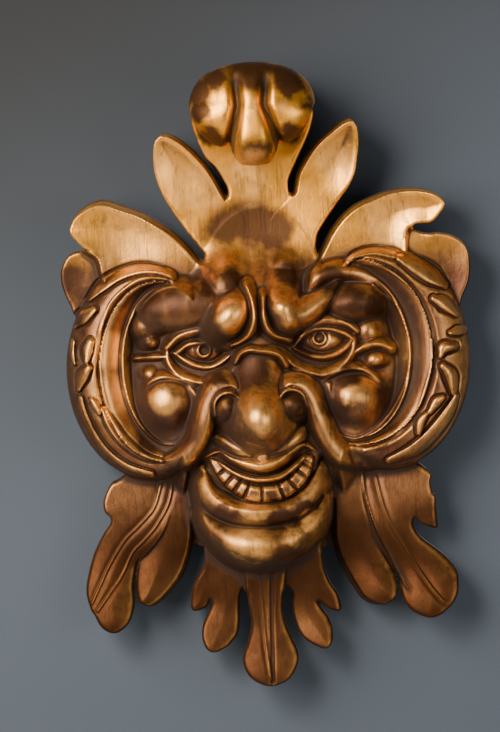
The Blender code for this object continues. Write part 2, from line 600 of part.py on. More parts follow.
def relief(x, z):
    """Inside distance of the whole outline, and depth of the front, both in parts."""
    edge = np.full_like(x, -REACH)
    height = np.full_like(x, FAR)

    def lay(signed, wall, top, blend):
        nonlocal edge, height
        edge = np.maximum(edge, wall)
        top = np.where(signed > -REACH, top - WALL_SLOPE * np.clip(-signed, 0, REACH), FAR)
        height = join(height, top, blend) if blend else np.maximum(height, top)

    sheet = crown_sheet(x, z)
    for shape in CROWN_LEAVES.values():
        signed, wall, rise = leaf(x, z, *shape)
        lay(signed, wall, sheet + rise, 0)
    for shape in LOWER_LEAVES.values():
        signed, wall, rise = leaf(x, z, *shape)
        lay(signed, wall, rise, 1)
    solid = {shape: (1 - oval(x, z, shape)) * min(shape[2:]) for shape in (FOREHEAD, MIDDLE, JAW)}
    lay(solid[FOREHEAD], solid[FOREHEAD], sheet - 7 * ramp(16, 0, solid[FOREHEAD]), 0)
    reach = np.maximum.reduce([solid[FOREHEAD], solid[MIDDLE], solid[JAW]])
    for side in EAR_RINGS:
        signed, top = ear_ring(x, z, side)
        edge = np.maximum(edge, signed)
        height = join(height, top, 1.5)
        reach = np.maximum(reach, (1 - oval(x, z, EAR_RINGS[side][1])) * 50)
    edge = np.maximum.reduce([edge, solid[MIDDLE], solid[JAW]])
    height = join(height, face(x, z) - 1.2 * np.clip(-reach, 0, 60), 2 + 8 * ramp(*FOREHEAD_BLEND, z))
    return edge, height


def scroll_surface(round_count, across_count):
    """The roll at the top, as a radius round a level axis: two bulbs with a tongue hanging between them.

    Its section at a share a of its half width has the radius SCROLL_RADIUS * (1 - |a|^p)^(1/p), where p is
    2.2 above the axis and 4 below it, so that it is round on top and fuller where it hangs.
    """
    turn = np.linspace(0, 2 * np.pi, round_count, endpoint=False)
    across = np.sin(np.linspace(-1, 1, across_count + 2)[1:-1] * np.pi / 2 * 0.985)
    turn, across = np.meshgrid(turn, across)
    up, ahead = np.sin(turn), np.cos(turn)
    power = 2.2 + 1.8 * ramp(0.2, -0.6, up)
    share = (1 - np.abs(across) ** power) ** (1 / power)
    level = up * share
    lines = (SCROLL_LEFT, SCROLL_RIGHT, LEFT_CREASE, RIGHT_CREASE)
    left, right, left_crease, right_crease = (np.interp(level, SCROLL_LEVELS, line) for line in lines)
    x = (left + right) / 2 + across * (right - left) / 2
    front = ramp(-0.4, 0.3, ahead)
    between = ramp(-1.5, 1.5, x - left_crease) * ramp(-1.5, 1.5, right_crease - x)
    middle = (x - (left_crease + right_crease) / 2) / (right_crease - left_crease) * 2
    hang = TONGUE_HANG * ramp(-0.1, -0.9, up) * between * np.sqrt(np.clip(1 - 0.5 * middle**2, 0, 1))
    crease = bell(x - left_crease, CREASE_WIDTH) + bell(x - right_crease, CREASE_WIDTH)
    crease = CREASE_DEPTH * crease * ramp(0.9, 0.4, up)
    radius = SCROLL_RADIUS * share + front * (hang - crease * (1 - across**4))
    points = np.stack(
        [
            (SCROLL_CENTRE[0] + x) * PART,
            -(SCROLL_DEPTH + radius * ahead) * DEEP,
            (SCROLL_CENTRE[1] + radius * up) * PART,
        ],
        -1,
    )
    number = np.arange(x.size).reshape(x.shape)
    beside = np.roll(number, -1, 1)
    quads = np.stack([number[:-1], number[1:], beside[1:], beside[:-1]], -1).reshape(-1, 4).tolist()
    quads.append(number[0].tolist())
    quads.append(number[-1, ::-1].tolist())
    return points.reshape(-1, 3), quads


def back(x, z, height):
    """Depth of the back: flat on the wall in the middle, rising until only a leaf's thickness is left."""
    outside = -np.maximum.reduce([(1 - oval(x, z, shape)) * min(shape[2:]) for shape in FLAT_BACK])
    lift = LIFT_SLOPE * np.clip(outside - LIFT_START / PART, 0, None)
    return np.clip(np.minimum(lift, height - LEAF_THICKNESS / DEEP), 0, None)


def carving_grid():
    """Grid points over the outline, the cells that it covers, and the points pulled onto its edge."""
    step = STEP / PART
    across = np.arange(*GRID_ACROSS, step)
    up = np.arange(*GRID_UP, step)
    x, z = np.meshgrid(across, up)
    edge, _ = relief(x, z)
    slope_z, slope_x = np.gradient(edge, step)
    steep = np.maximum(slope_x**2 + slope_z**2, 0.3)
    within = edge > 0
    cells = within[1:, 1:] | within[:-1, 1:] | within[1:, :-1] | within[:-1, :-1]
    cells = with_whole_corners(cells)
    pull = np.where(within, 0, -edge) / steep
    pull = np.clip(pull, 0, 1.3 * step)
    return x + slope_x * pull, z + slope_z * pull, cells


def with_whole_corners(cells):
    """The cells with gaps filled wherever two of them would touch only at a corner."""
    for _ in range(4):
        a, b, c, d = cells[1:, 1:], cells[:-1, :-1], cells[1:, :-1], cells[:-1, 1:]
        pinch = (a & b & ~c & ~d) | (c & d & ~a & ~b)
        for part in (a, b, c, d):
            part |= pinch
    return cells


def solid_mesh(name, points, faces):
    mesh = bpy.data.meshes.new(name)
    mesh.from_pydata(points, [], faces)
    mesh.update()
    thing = bpy.data.objects.new(name, mesh)
    bpy.context.scene.collection.objects.link(thing)
    return thing


def carved_block():
    """The relief and its back as one closed shell, with a wall round the outline."""
    x, z, cells = carving_grid()
    edge, height = relief(x, z)
    rounding = EDGE_ROUND / DEEP
    near_edge = np.clip(1 - np.clip(edge, 0, None) * PART / EDGE_ROUND, 0, 1)
    height = height - rounding * (1 - np.sqrt(1 - near_edge**2))
    behind = back(x, z, height)
    front = np.stack([x * PART, -height * DEEP, z * PART], -1).reshape(-1, 3)
    rear = np.stack([x * PART, -behind * DEEP, z * PART], -1).reshape(-1, 3)
    number = np.arange(x.size).reshape(x.shape)
    corners = [number[:-1, :-1], number[:-1, 1:], number[1:, 1:], number[1:, :-1]]
    faces = np.stack([corner[cells] for corner in corners], 1)
    ends = np.concatenate([faces[:, [i, (i + 1) % 4]] for i in range(4)])
    key = ends[:, 0] * x.size + ends[:, 1]
    border = ends[~np.isin(key, ends[:, 1] * x.size + ends[:, 0])]
    walls = np.stack([border[:, 1], border[:, 0], border[:, 0] + x.size, border[:, 1] + x.size], 1)
    quads = np.concatenate([faces, faces[:, ::-1] + x.size, walls])
    used, index = np.unique(quads, return_inverse=True)
    points = np.concatenate([front, rear])[used]
    return solid_mesh(NODE, points.tolist(), index.reshape(quads.shape).tolist())


def scroll():
    """The roll as a closed mesh of 40 points round and 30 across, which the block is joined to."""
    points, quads = scroll_surface(40, 30)
    thing = solid_mesh("scroll", points.tolist(), quads)
    thing.hide_render = True
    thing.display_type = "WIRE"
    return thing


def wall():
    """A block behind the back plane, which trims the back flat."""
    bpy.ops.mesh.primitive_cube_add(size=1)
    block = bpy.context.object
    block.name = "wall_trimmer"
    block.dimensions = (1.5 * HEIGHT, HEIGHT, 1.5 * HEIGHT)
    block.location = (0, HEIGHT / 2, 0)
    block.hide_render = True
    block.display_type = "WIRE"
    return block


def wood():
    material = bpy.data.materials.new("bronzed_wood")
    material.use_nodes = True
    shader = material.node_tree.nodes["Principled BSDF"]
    shader.inputs["Base Color"].default_value = (0.36, 0.17, 0.06, 1)
    shader.inputs["Roughness"].default_value = 0.38
    shader.inputs["Metallic"].default_value = 0.6
    return material


def build():
    for thing in list(bpy.data.objects):
        bpy.data.objects.remove(thing)
    block = carved_block()
    faces = 2 * len(block.data.polygons)
    thin = block.modifiers.new("fewer faces", "DECIMATE")
    thin.ratio = min(1, TRIANGLES / faces)
    thin.use_collapse_triangulate = True
    trim = block.modifiers.new("flat back", "BOOLEAN")
    trim.operation = "DIFFERENCE"
    trim.object = wall()
    add = block.modifiers.new("scroll", "BOOLEAN")
    add.operation = "UNION"
    add.object = scroll()
    block.data.materials.append(wood())
    block.data.shade_smooth()


build()
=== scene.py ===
"""Looks of the carved satyr mask: its carving at full fineness, its bronze-painted finish, a plain stage.

The carving is one relief, how far each point (x, z) of the face plane stands forward of the wall. Leaves,
ears, brows, nose and lips are each a small function of that plane. Lengths are in parts, 481.8 to the
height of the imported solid, or in pixels of the photograph where a comment says so. Depths are in parts
too, 121.5 from the wall to the nose.
"""

import math

import bpy
import numpy as np
from mathutils import Matrix, Vector


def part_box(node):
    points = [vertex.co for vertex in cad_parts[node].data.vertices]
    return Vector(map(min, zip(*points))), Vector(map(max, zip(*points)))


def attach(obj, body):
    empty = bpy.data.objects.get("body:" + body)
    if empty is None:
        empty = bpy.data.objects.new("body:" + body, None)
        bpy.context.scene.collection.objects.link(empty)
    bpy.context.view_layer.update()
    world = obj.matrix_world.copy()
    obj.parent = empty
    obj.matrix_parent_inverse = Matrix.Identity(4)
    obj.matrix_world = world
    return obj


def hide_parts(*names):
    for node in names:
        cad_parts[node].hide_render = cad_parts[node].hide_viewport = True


bl_info = {
    "name": "Carved satyr mask",
    "version": (1, 0, 0),
    "blender": (4, 5, 0),
    "location": "View3D > Sidebar > Mask",
    "description": "Dresses the packed mask in its fine carving, worn bronze paint and a plain stage",
    "category": "Object",
}

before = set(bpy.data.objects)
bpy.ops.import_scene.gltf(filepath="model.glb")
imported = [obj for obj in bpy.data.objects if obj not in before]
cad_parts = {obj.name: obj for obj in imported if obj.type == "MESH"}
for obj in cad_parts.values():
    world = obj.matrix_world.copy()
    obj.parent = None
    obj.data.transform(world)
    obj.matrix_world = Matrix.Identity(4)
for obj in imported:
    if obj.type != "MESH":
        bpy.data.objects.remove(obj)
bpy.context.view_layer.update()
NODE = "carved_satyr_mask"
LOW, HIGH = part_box(NODE)
TALL, THICK = 481.8, 121.5  # the mask's height and depth in parts
PART = (HIGH[2] - LOW[2]) / TALL
DEEP = (HIGH[1] - LOW[1]) / THICK
FAR = -1000.0  # the depth where there is no surface

# Places on the face were picked on the photograph: parts in a pixel, the pixel of the object's axis, how
# many pixels that axis lies right of the frame's middle, and the object's turn in the picture
PIXEL = 0.776
PICTURE_AXIS = (265, 366)
PICTURE_SHIFT = 4
PICTURE_TURN = math.radians(2.6)

# Each leaf: outline, root and tip, depths between them, cupping, flare of its side wall, in pixels and parts
CROWN_LEAVES = {
    "scroll_stem": (
        (
            (190, 110), (193, 129.5), (198.7, 145), (205.7, 159), (215.5, 169), (222.5, 180), (227.5, 190),
            (228, 198), (225, 203.5), (215, 215), (230, 260), (300, 255), (300, 215), (291, 198),
            (288.2, 191), (288.2, 181.5), (292.5, 170), (299.5, 154.7), (306.5, 139.3), (310.7, 126.7),
            (312.5, 114), (308, 92), (290, 75), (250, 68), (212, 75), (195, 90),
        ),
        ((262, 240), (250, 75)), (0, 0, 4, 16), 4, (0, 0),
    ),
    "left_petal": (
        (
            (162, 138.8), (156, 143.7), (154, 156.3), (154.5, 170.3), (158, 184.4), (165, 200),
            (173.5, 214), (183.3, 228), (191.7, 239), (198.7, 247.5), (204.5, 255), (207, 262), (235, 262),
            (245, 225), (232, 206), (224.5, 202.5), (218.4, 193), (212.8, 183), (204.3, 170.3),
            (193, 157.7), (182, 148), (170.7, 141),
        ),
        ((228, 235), (162, 139)), (0, 0, 2, 10), 5, (2.4, 2.8),
    ),
    "right_petal": (
        (
            (352, 123.2), (356.3, 131), (357.7, 146.3), (356.3, 160.3), (354.2, 174.4), (348, 188.4),
            (339, 201), (330.3, 213.7), (322, 226.3), (317, 236), (315.6, 248.7), (317, 260), (300, 270),
            (275, 262), (270, 225), (285, 205), (292.4, 198.5), (296.5, 195.5), (298.1, 187),
            (300.2, 177.2), (305, 167.4), (310.7, 157.5), (319.1, 146.3), (330.3, 136.5), (343, 126.7),
        ),
        ((292, 230), (352, 123)), (0, 0, 2, 10), 5, (-2.4, 2.8),
    ),
    "left_fan": (
        (
            (198.7, 265.8), (190.3, 256), (180.5, 246), (169.3, 236.3), (153.8, 226.5), (139.8, 218.7),
            (125.8, 213.8), (106, 207.5), (93.5, 209), (81, 216.6), (72.5, 226.5), (71.7, 235),
            (78, 243.3), (84, 249), (91, 253.5), (100, 262), (110, 290), (150, 310), (215, 300),
            (225, 275), (206, 268),
        ),
        ((205, 290), (80, 220)), (0, 0, -1, 4), 4, (1.6, 4.6),
    ),
    "left_fan_lobe": (
        (
            (92, 254), (78, 254.5), (68, 260), (62, 273), (62, 284), (65.4, 295), (71, 306.5), (80, 320),
            (120, 330), (140, 290), (120, 262),
        ),
        ((120, 290), (64, 275)), (-4, -7, -8), 2, (0, 1.5),
    ),
    "right_fan": (
        (
            (319.5, 262.5), (326, 250), (333, 236), (343, 222), (355.6, 210.8), (371, 203), (386.5, 196.8),
            (403.3, 193.3), (418.7, 193.3), (431.4, 196), (441, 201), (443.3, 206.6), (438.4, 215),
            (430, 223.5), (416, 225), (411, 228), (405, 235), (400, 280), (350, 300), (300, 300),
            (305, 275), (317, 266),
        ),
        ((325, 285), (440, 200)), (0, 0, -1, 4), 4, (-2.4, 3.2),
    ),
    "right_fan_lobe": (
        (
            (411, 229), (417.3, 233.3), (428.6, 235.4), (438.4, 234.7), (451, 237.5), (462.2, 244.5),
            (467.8, 254.3), (469.2, 268.4), (467.8, 282.4), (462.2, 296.4), (455, 310), (420, 320),
            (395, 290), (398, 250),
        ),
        ((410, 280), (467, 262)), (-4, -6, -5), 2, (0, 1),
    ),
}
LOWER_LEAVES = {
    "left_long_lobe": (
        (
            (150, 455), (122, 479), (112, 484.5), (106.5, 493.5), (103.5, 504), (105, 513.5),
            (110.5, 519.5), (110, 526), (104, 535), (98, 546), (93, 558), (89, 573), (86.5, 587),
            (87, 598), (91, 611), (95, 617), (100.5, 627), (108.5, 633), (116.5, 634), (124.5, 629.5),
            (130.5, 622), (134, 611), (135, 598), (134, 587), (135.5, 575), (138, 565), (150, 552),
            (165, 530), (175, 500), (180, 465),
        ),
        ((160, 470), (108, 633)), (30, 36, 34, 46), -4, (0, 0),
    ),
    "left_inner_lobe": (
        (
            (137.5, 598), (140, 604), (144.5, 606), (151.5, 605.5), (162, 598), (174, 584.5), (182, 571),
            (187.5, 554), (190, 539), (191, 520), (191.5, 504), (193, 491), (195.5, 475), (190, 455),
            (165, 455), (158, 490), (148, 530), (139, 560), (137, 575), (136.5, 588),
        ),
        ((178, 470), (144, 606)), (32, 35, 32, 42), -4, (2.6, -1.6),
    ),
    "right_long_lobe": (
        (
            (410.8, 461), (420, 465.5), (431, 474.5), (430.5, 483.5), (432.5, 493.5), (435.5, 497.5),
            (436.3, 509), (438, 527), (435.5, 529.5), (428.5, 528), (420, 524), (415.5, 518.5), (413, 524),
            (415.5, 531.5), (422, 539.5), (437.5, 551), (448, 560), (457, 571.5), (459, 583), (458, 594.5),
            (453, 604.5), (447.5, 610), (441.5, 615), (432.5, 618.5), (424.5, 617.5), (414.5, 613.5),
            (407, 607), (402.5, 599.5), (400, 587), (399.5, 578), (390, 562), (375, 530), (365, 500),
            (360, 465), (385, 455),
        ),
        ((372, 470), (436, 618)), (30, 36, 34, 46), -4, (0, 0),
    ),
    "right_inner_lobe": (
        (
            (337, 536), (338, 545), (342, 558), (349.5, 573), (358.5, 588), (365, 597), (374, 602.5),
            (384, 604), (393, 602), (397.5, 595), (397.5, 584), (393, 570), (386, 556), (375, 530),
            (365, 500), (360, 465), (330, 460), (333, 480), (336, 507),
        ),
        ((348, 470), (384, 604)), (32, 35, 32, 42), -4, (-3.4, -2),
    ),
    "beard_left": (
        (
            (212, 530), (204.7, 547.6), (204.7, 558), (203, 569.5), (197, 580), (192.5, 590), (191, 600.5),
            (191, 609.5), (194, 613), (200.5, 612), (207, 608.5), (210.5, 601.5), (212, 606),
            (207.5, 616.5), (203.5, 625.5), (202, 635), (203.5, 644), (207.5, 651), (213.5, 653.7),
            (220, 652), (228, 647.5), (235, 639.5), (238.5, 633.5), (239.7, 623), (239.7, 612),
            (239.7, 600.5), (241, 594.5), (243.2, 592.2), (246.5, 593.5), (252, 598), (262, 590),
            (262, 530),
        ),
        ((235, 550), (212, 652)), (40, 34, 33, 42), -2, (0, 0),
    ),
    "beard_right": (
        (
            (318, 530), (321.8, 549.8), (323, 560), (325, 571.5), (330.5, 584.5), (337.3, 594.5),
            (340.7, 604), (341.3, 610.7), (338.4, 613), (329, 610.7), (321, 604), (318, 602.5),
            (319.5, 607.2), (327, 616.5), (331.5, 625.5), (333.3, 636), (332, 644), (328, 649), (321, 649),
            (312, 645), (304, 639.5), (298.2, 631.5), (293.6, 618.7), (292, 607.2), (293, 596),
            (290.8, 591.2), (286.8, 589), (283.5, 592), (278, 598), (268, 590), (268, 530),
        ),
        ((300, 550), (325, 649)), (40, 34, 33, 42), -2, (0, 0),
    ),
    "beard_tongue": (
        (
            (247.5, 594), (248.5, 604), (250.5, 615), (251.5, 627), (247.7, 644), (244.3, 653),
            (243, 661.5), (245.4, 670.5), (251, 678.5), (260.4, 684.2), (270.7, 686.5), (281, 684.2),
            (290.2, 678.4), (297, 667), (298.8, 656.6), (296, 647.4), (291.4, 638), (286.8, 627),
            (284, 617.5), (282.7, 607), (283, 594), (283, 540), (247, 540),
        ),
        ((266, 560), (270, 686)), (44, 40, 42, 50), -3, (0, 0),
    ),
    "left_neck": (
        ((184, 455), (187, 500), (187, 535), (190, 544), (197, 547.5), (206, 546), (216, 535), (216, 455)),
        ((200, 460), (200, 546)), (26, 24, 22), 0, (0, 0),
    ),
    "right_neck": (
        ((312, 455), (312, 535), (320, 546), (328, 548.5), (336, 545), (340, 535), (338, 500), (338, 455)),
        ((328, 460), (328, 546)), (26, 24, 22), 0, (0, 0),
    ),
}

# Each ear ring: outer edge, line of the bright band and rim of the bowl, as centre x, z and half sizes
EAR_RINGS = {
    -1: ((-86.3, -0.6, 64.4, 84.6), (-78.5, -0.2, 45.8, 69.0), (-69.0, 4.0, 36.5, 62.0)),
    1: ((96.5, 2.0, 66.0, 87.0), (75.7, 7.6, 56.6, 71.4), (69.4, 5.5, 45.0, 65.0)),
}
RING_TIPS = {-1: ((50, 66), (30, 62)), 1: ((56, 74), (30, 62))}  # where the upper and lower ends fade out

# Ovals of solid wood between the leaves: centre x, z and half width, height
FOREHEAD = (3, 60, 46, 62)
MIDDLE = (-1, -20, 70, 100)
JAW = (-3, -98, 48, 60)
FLAT_BACK = ((3, -15, 118, 92), (3, 120, 30, 75), (-4, -120, 40, 45))
EYE_SOCKETS = (
    (-43.5, 13, 25, 15, -11), (48, 14.5, 25, 15, -11), (1.5, 20, 12, 16, 6), (0, 51.5, 22, 22, 12),
)

# Round bosses of the face: centre and half sizes in pixels, turn in degrees, foot, rise, blend
BOSSES = {
    "left_brow_hump": (226, 289, 16, 18, 0, 60, 13, 7),
    "left_brow": (230, 316, 28, 19, 42, 68, 28, 4),
    "right_outer_brow": (351, 303, 29, 19, 8, 51, 24, 8),
    "left_cheek": (170, 402, 27, 30, 0, 48, 26, 9),
    "right_cheek": (351, 398, 29, 27, 10, 48, 26, 9),
    "left_temple_bead": (151, 343, 8, 7, 0, 50, 8, 2),
    "left_cheek_bead": (152, 375, 9, 8, 0, 50, 9, 3),
    "right_cheek_bead": (373, 360, 10, 8, 20, 50, 9, 3),
    "right_temple_plane": (366, 332, 11, 13, 0, 50, 9, 3),
    "lip_swell": (259, 448, 44, 24, 0, 58, 27, 3),
    "left_nostril": (228.5, 406, 14, 14.5, 0, 76, 20, 2),
    "right_nostril": (291, 403, 14, 14.5, 0, 76, 20, 2),
    "nose_tip": (259.5, 416, 21.5, 25, 0, 94, 27.5, 2.5),
    "philtrum": (261.5, 453, 7, 8, 0, 82, 7, 3),
    "fold_foot": (344, 455, 20, 18, 0, 46, 12, 5),
}

# Ridges of the face: path and half widths in pixels, depths at the foot, rises, blend, lean
RIDGES = {
    "left_outer_brow": (
        ((147, 327), (160, 315), (180, 308), (203, 307), (221, 312)), (13, 20, 23, 20, 13),
        (50, 55, 59, 63, 66), (10, 15, 16, 14, 10), 6, 0,
    ),
    "right_brow": (
        ((283, 270), (281, 287), (281, 303), (286, 319)), (9, 13, 16, 15), (54, 62, 70, 70), (4, 12, 26, 26),
        8, 0,
    ),
    "left_lip_band": (
        ((214, 435), (226, 440), (239, 447), (250, 452)), (5, 7, 7, 5), (66, 74, 79, 82), (5, 9, 9, 5), 2, 0,
    ),
    "right_lip_band": (
        ((272, 451), (286, 443), (298, 433), (306, 423)), (5, 7, 7, 5), (80, 76, 72, 66), (5, 9, 9, 5), 2, 0,
    ),
    "right_brow_arm": (
        ((286, 317), (302, 313), (317, 303), (328, 294), (336, 284)), (15, 14, 10, 7, 4),
        (70, 66, 64, 62, 60), (26, 21, 16, 11, 5), 4, 0,
    ),
    "right_brow_arch": (
        ((309, 292), (318, 279), (335, 273), (355, 275), (373, 286)), (6, 9, 10, 9, 6),
        (54, 54, 52, 50, 48), (8, 12, 13, 12, 8), 4, 0,
    ),
    "left_frown": (
        ((247, 287), (252, 301), (254, 319), (249.5, 333), (241, 341), (232, 345)), (2, 3, 3.4, 3.4, 3, 2),
        (80, 84, 86, 82, 76, 72), (5, 7, 7, 7, 6, 4), 1.2, 0,
    ),
    "right_frown": (
        ((263, 296), (263.5, 315), (267, 327), (275, 335), (288, 339)), (2, 3.4, 3.4, 3, 2),
        (82, 86, 84, 80, 74), (5, 7, 7, 6, 4), 1.2, 0,
    ),
    "nose_bridge": (
        ((258, 350), (258, 372), (258, 392), (259, 410)), (20, 23, 21, 17), (66, 70, 79, 86),
        (14, 17, 20, 25), 5, 0,
    ),
    "bridge_arch": (
        ((236, 362), (241, 353), (250, 349), (260, 350), (271, 351), (280, 355), (286, 365)),
        (2, 2.6, 2.8, 2.8, 2.8, 2.6, 2), (76, 80, 84, 85, 84, 80, 76), (5, 6, 6, 6, 6, 6, 5), 1.2, 0,
    ),
    "left_lid": (
        ((168, 348), (179, 337), (193, 332), (207, 331), (220, 338), (232, 346)), (3, 5, 6, 6, 5, 3),
        (58, 60, 62, 64, 66, 68), (4, 6, 7, 7, 6, 4), 2, 0,
    ),
    "left_lid_edge": (
        ((179, 352), (190, 344.5), (207, 343), (220, 345), (234, 350)), (2.2, 3.4, 3.6, 3.4, 2.2),
        (60, 62, 63, 64, 66), (3, 4.5, 5, 4.5, 3), 1.5, 0,
    ),
    "left_lower_lid": (
        ((175, 353), (187, 361), (199, 366), (211, 367), (222, 362), (233, 353)),
        (2, 3, 3.4, 3.4, 3, 2), (58, 60, 61, 62, 64, 66), (3, 4, 4.5, 4.5, 4, 3), 1.2, 0,
    ),
    "left_eye_bag": (
        ((168, 349), (169, 361), (177, 373), (191, 380), (206, 382.5), (221, 379), (233, 370), (238, 355)),
        (2.4, 3.4, 4.2, 4.6, 4.6, 4.2, 3.4, 2.4), (56, 58, 60, 63, 65, 67, 70, 72), (3, 4, 5, 5, 5, 5, 4, 3),
        2, 0,
    ),
    "right_lid": (
        ((300, 337), (309, 327), (321, 321), (334, 320.5), (346, 324), (356, 331)), (3, 5, 6, 6, 5, 3),
        (66, 64, 62, 62, 60, 58), (4, 6, 7, 7, 6, 4), 2, 0,
    ),
    "right_lid_edge": (
        ((293, 347), (303, 335), (315, 329), (330, 329), (343, 333), (352, 339)),
        (2.2, 3.2, 3.2, 3.2, 3, 2.2), (66, 64, 63, 62, 61, 60), (3, 4.5, 5, 5, 4.5, 3), 1.5, 0,
    ),
    "right_lower_lid": (
        ((295, 349), (306, 354), (320, 357), (334, 354), (345, 347), (352, 338)),
        (2, 3, 3.4, 3.4, 3, 2), (66, 64, 62, 61, 60, 58), (3, 4, 4.5, 4.5, 4, 3), 1.2, 0,
    ),
    "right_eye_bag": (
        ((286, 357), (294, 365), (307, 371), (321, 374), (334, 370), (345, 361), (352, 349), (353, 334)),
        (2.4, 3.4, 4.2, 4.6, 4.6, 4.2, 3.4, 2.4), (72, 70, 67, 65, 63, 60, 58, 56), (3, 4, 5, 5, 5, 5, 4, 3),
        2, 0,
    ),
    "left_crow_foot": (
        ((136, 359), (150, 357.5), (166, 357)), (2.4, 3.4, 2.6), (48, 52, 56), (4, 6, 4), 1.5, 0,
    ),
    "right_crow_foot": (
        ((353, 353), (364, 346), (377, 344), (390, 349)), (3, 5, 5, 4), (56, 54, 52, 48), (4, 7, 7, 5), 2,
        0,
    ),
    "left_cheek_arc": (
        ((147, 396), (150, 384), (163, 377), (180, 379), (196, 386)), (3, 5, 5.5, 5, 3),
        (50, 54, 58, 60, 62), (5, 8, 9, 7, 4), 3, 0,
    ),
    "right_cheek_arc": (
        ((322, 381), (335, 372), (350, 368), (364, 370), (378, 381)), (3, 5, 6, 5, 4),
        (60, 58, 56, 54, 50), (5, 9, 10, 9, 6), 3, 0,
    ),
    "left_cheek_side": (
        ((190, 386), (198, 398), (199, 415), (192, 430)), (5, 7, 8, 5), (60, 60, 58, 54), (6, 10, 10, 6),
        3, 0,
    ),
    "right_cheek_side": (((328, 384), (331, 400), (337, 417)), (5, 7, 5), (60, 58, 54), (6, 9, 6), 3, 0),
    "left_smile_fold": (
        (
            (241, 391), (231, 384), (219, 388), (211, 402), (207, 421), (200, 441), (186, 458), (166, 467),
            (143, 471),
        ),
        (3, 5, 8, 10, 12, 12, 12, 10, 8), (84, 84, 78, 72, 68, 62, 57, 52, 48),
        (3, 7, 11, 15, 18, 18, 17, 14, 10), 3, 0.3,
    ),
    "right_smile_fold": (
        (
            (280, 390), (289, 383), (300, 386), (308, 398), (315, 418), (325, 440), (340, 456), (362, 463),
            (386, 462),
        ),
        (3, 5, 8, 10, 12, 12, 12, 10, 8), (84, 84, 78, 72, 68, 62, 57, 52, 48),
        (3, 7, 11, 15, 18, 18, 17, 14, 10), 3, -0.3,
    ),
    "left_wing_rim": (
        ((216, 414), (215.5, 401), (222, 392.5), (232, 391), (240, 397)), (1.2, 1.6, 1.8, 1.8, 1.2),
        (84, 88, 90, 92, 92), (3, 4, 4, 4, 3), 0.8, 0,
    ),
    "right_wing_rim": (
        ((279, 396), (285, 389), (294, 388), (302, 393), (306, 404)), (1.2, 1.8, 1.8, 1.6, 1.2),
        (92, 92, 90, 88, 84), (3, 4, 4, 4, 3), 0.8, 0,
    ),
    "upper_lip": (
        (
            (207, 455), (220, 450), (231, 456), (246.5, 461), (262, 463.5), (278, 458), (291, 449),
            (303, 443), (315, 449),
        ),
        (3, 4, 5, 6, 6.5, 6, 5, 4, 3), (62, 68, 74, 79, 80, 79, 74, 68, 62), (4, 7, 8, 9, 10, 9, 8, 7, 4),
        2, 0,
    ),
    "lower_lip": (
        (
            (206, 470), (209, 486), (217, 497), (230, 504), (245, 507.5), (261, 508.5), (281, 506),
            (298, 498), (311, 484), (318, 467),
        ),
        (5, 9, 12, 13, 14, 14, 13, 12, 9, 5), (58, 62, 66, 69, 70, 70, 69, 66, 62, 58),
        (6, 12, 16, 19, 21, 21, 19, 16, 12, 6), 3, 0.4,
    ),
    "chin": (
        ((203, 500), (209, 520), (227, 535), (248, 541), (272, 541), (297, 532), (315, 515), (326, 495)),
        (7, 13, 19, 23, 23, 18, 13, 6), (48, 52, 56, 58, 58, 56, 52, 48), (14, 25, 33, 38, 37, 30, 22, 12),
        3, 0,
    ),
}

# The gum line, the open mouth's outline, the arc that the teeth follow and where one tooth ends
GUM = (
    (217, 457), (226, 465), (238, 472), (250, 476), (264, 477), (279, 474.5), (291, 467), (303, 456),
)
MOUTH = (
    (209, 456), (221, 460), (234, 467), (247, 472), (262, 474), (280, 469), (296, 458), (307, 450),
    (313, 457), (308, 478), (298, 491), (281, 498.5), (262, 501), (246, 499), (230, 489), (216, 472),
)
TEETH_ARC = (
    (216, 461), (223, 470), (232, 479), (243, 487), (254, 491), (266, 491.5), (277, 490), (287, 485.5),
    (296, 478), (304, 467), (308, 459),
)
TOOTH_GAPS = (222.5, 230, 237.6, 246.5, 262, 281, 292, 301, 306)

# Each eye: centre and half sizes of the ball, and centre of the pupil, in pixels
EYES = {"left": (206, 350, 22, 13.5, 204.4, 350.5), "right": (320, 341, 24, 15, 318.6, 338)}

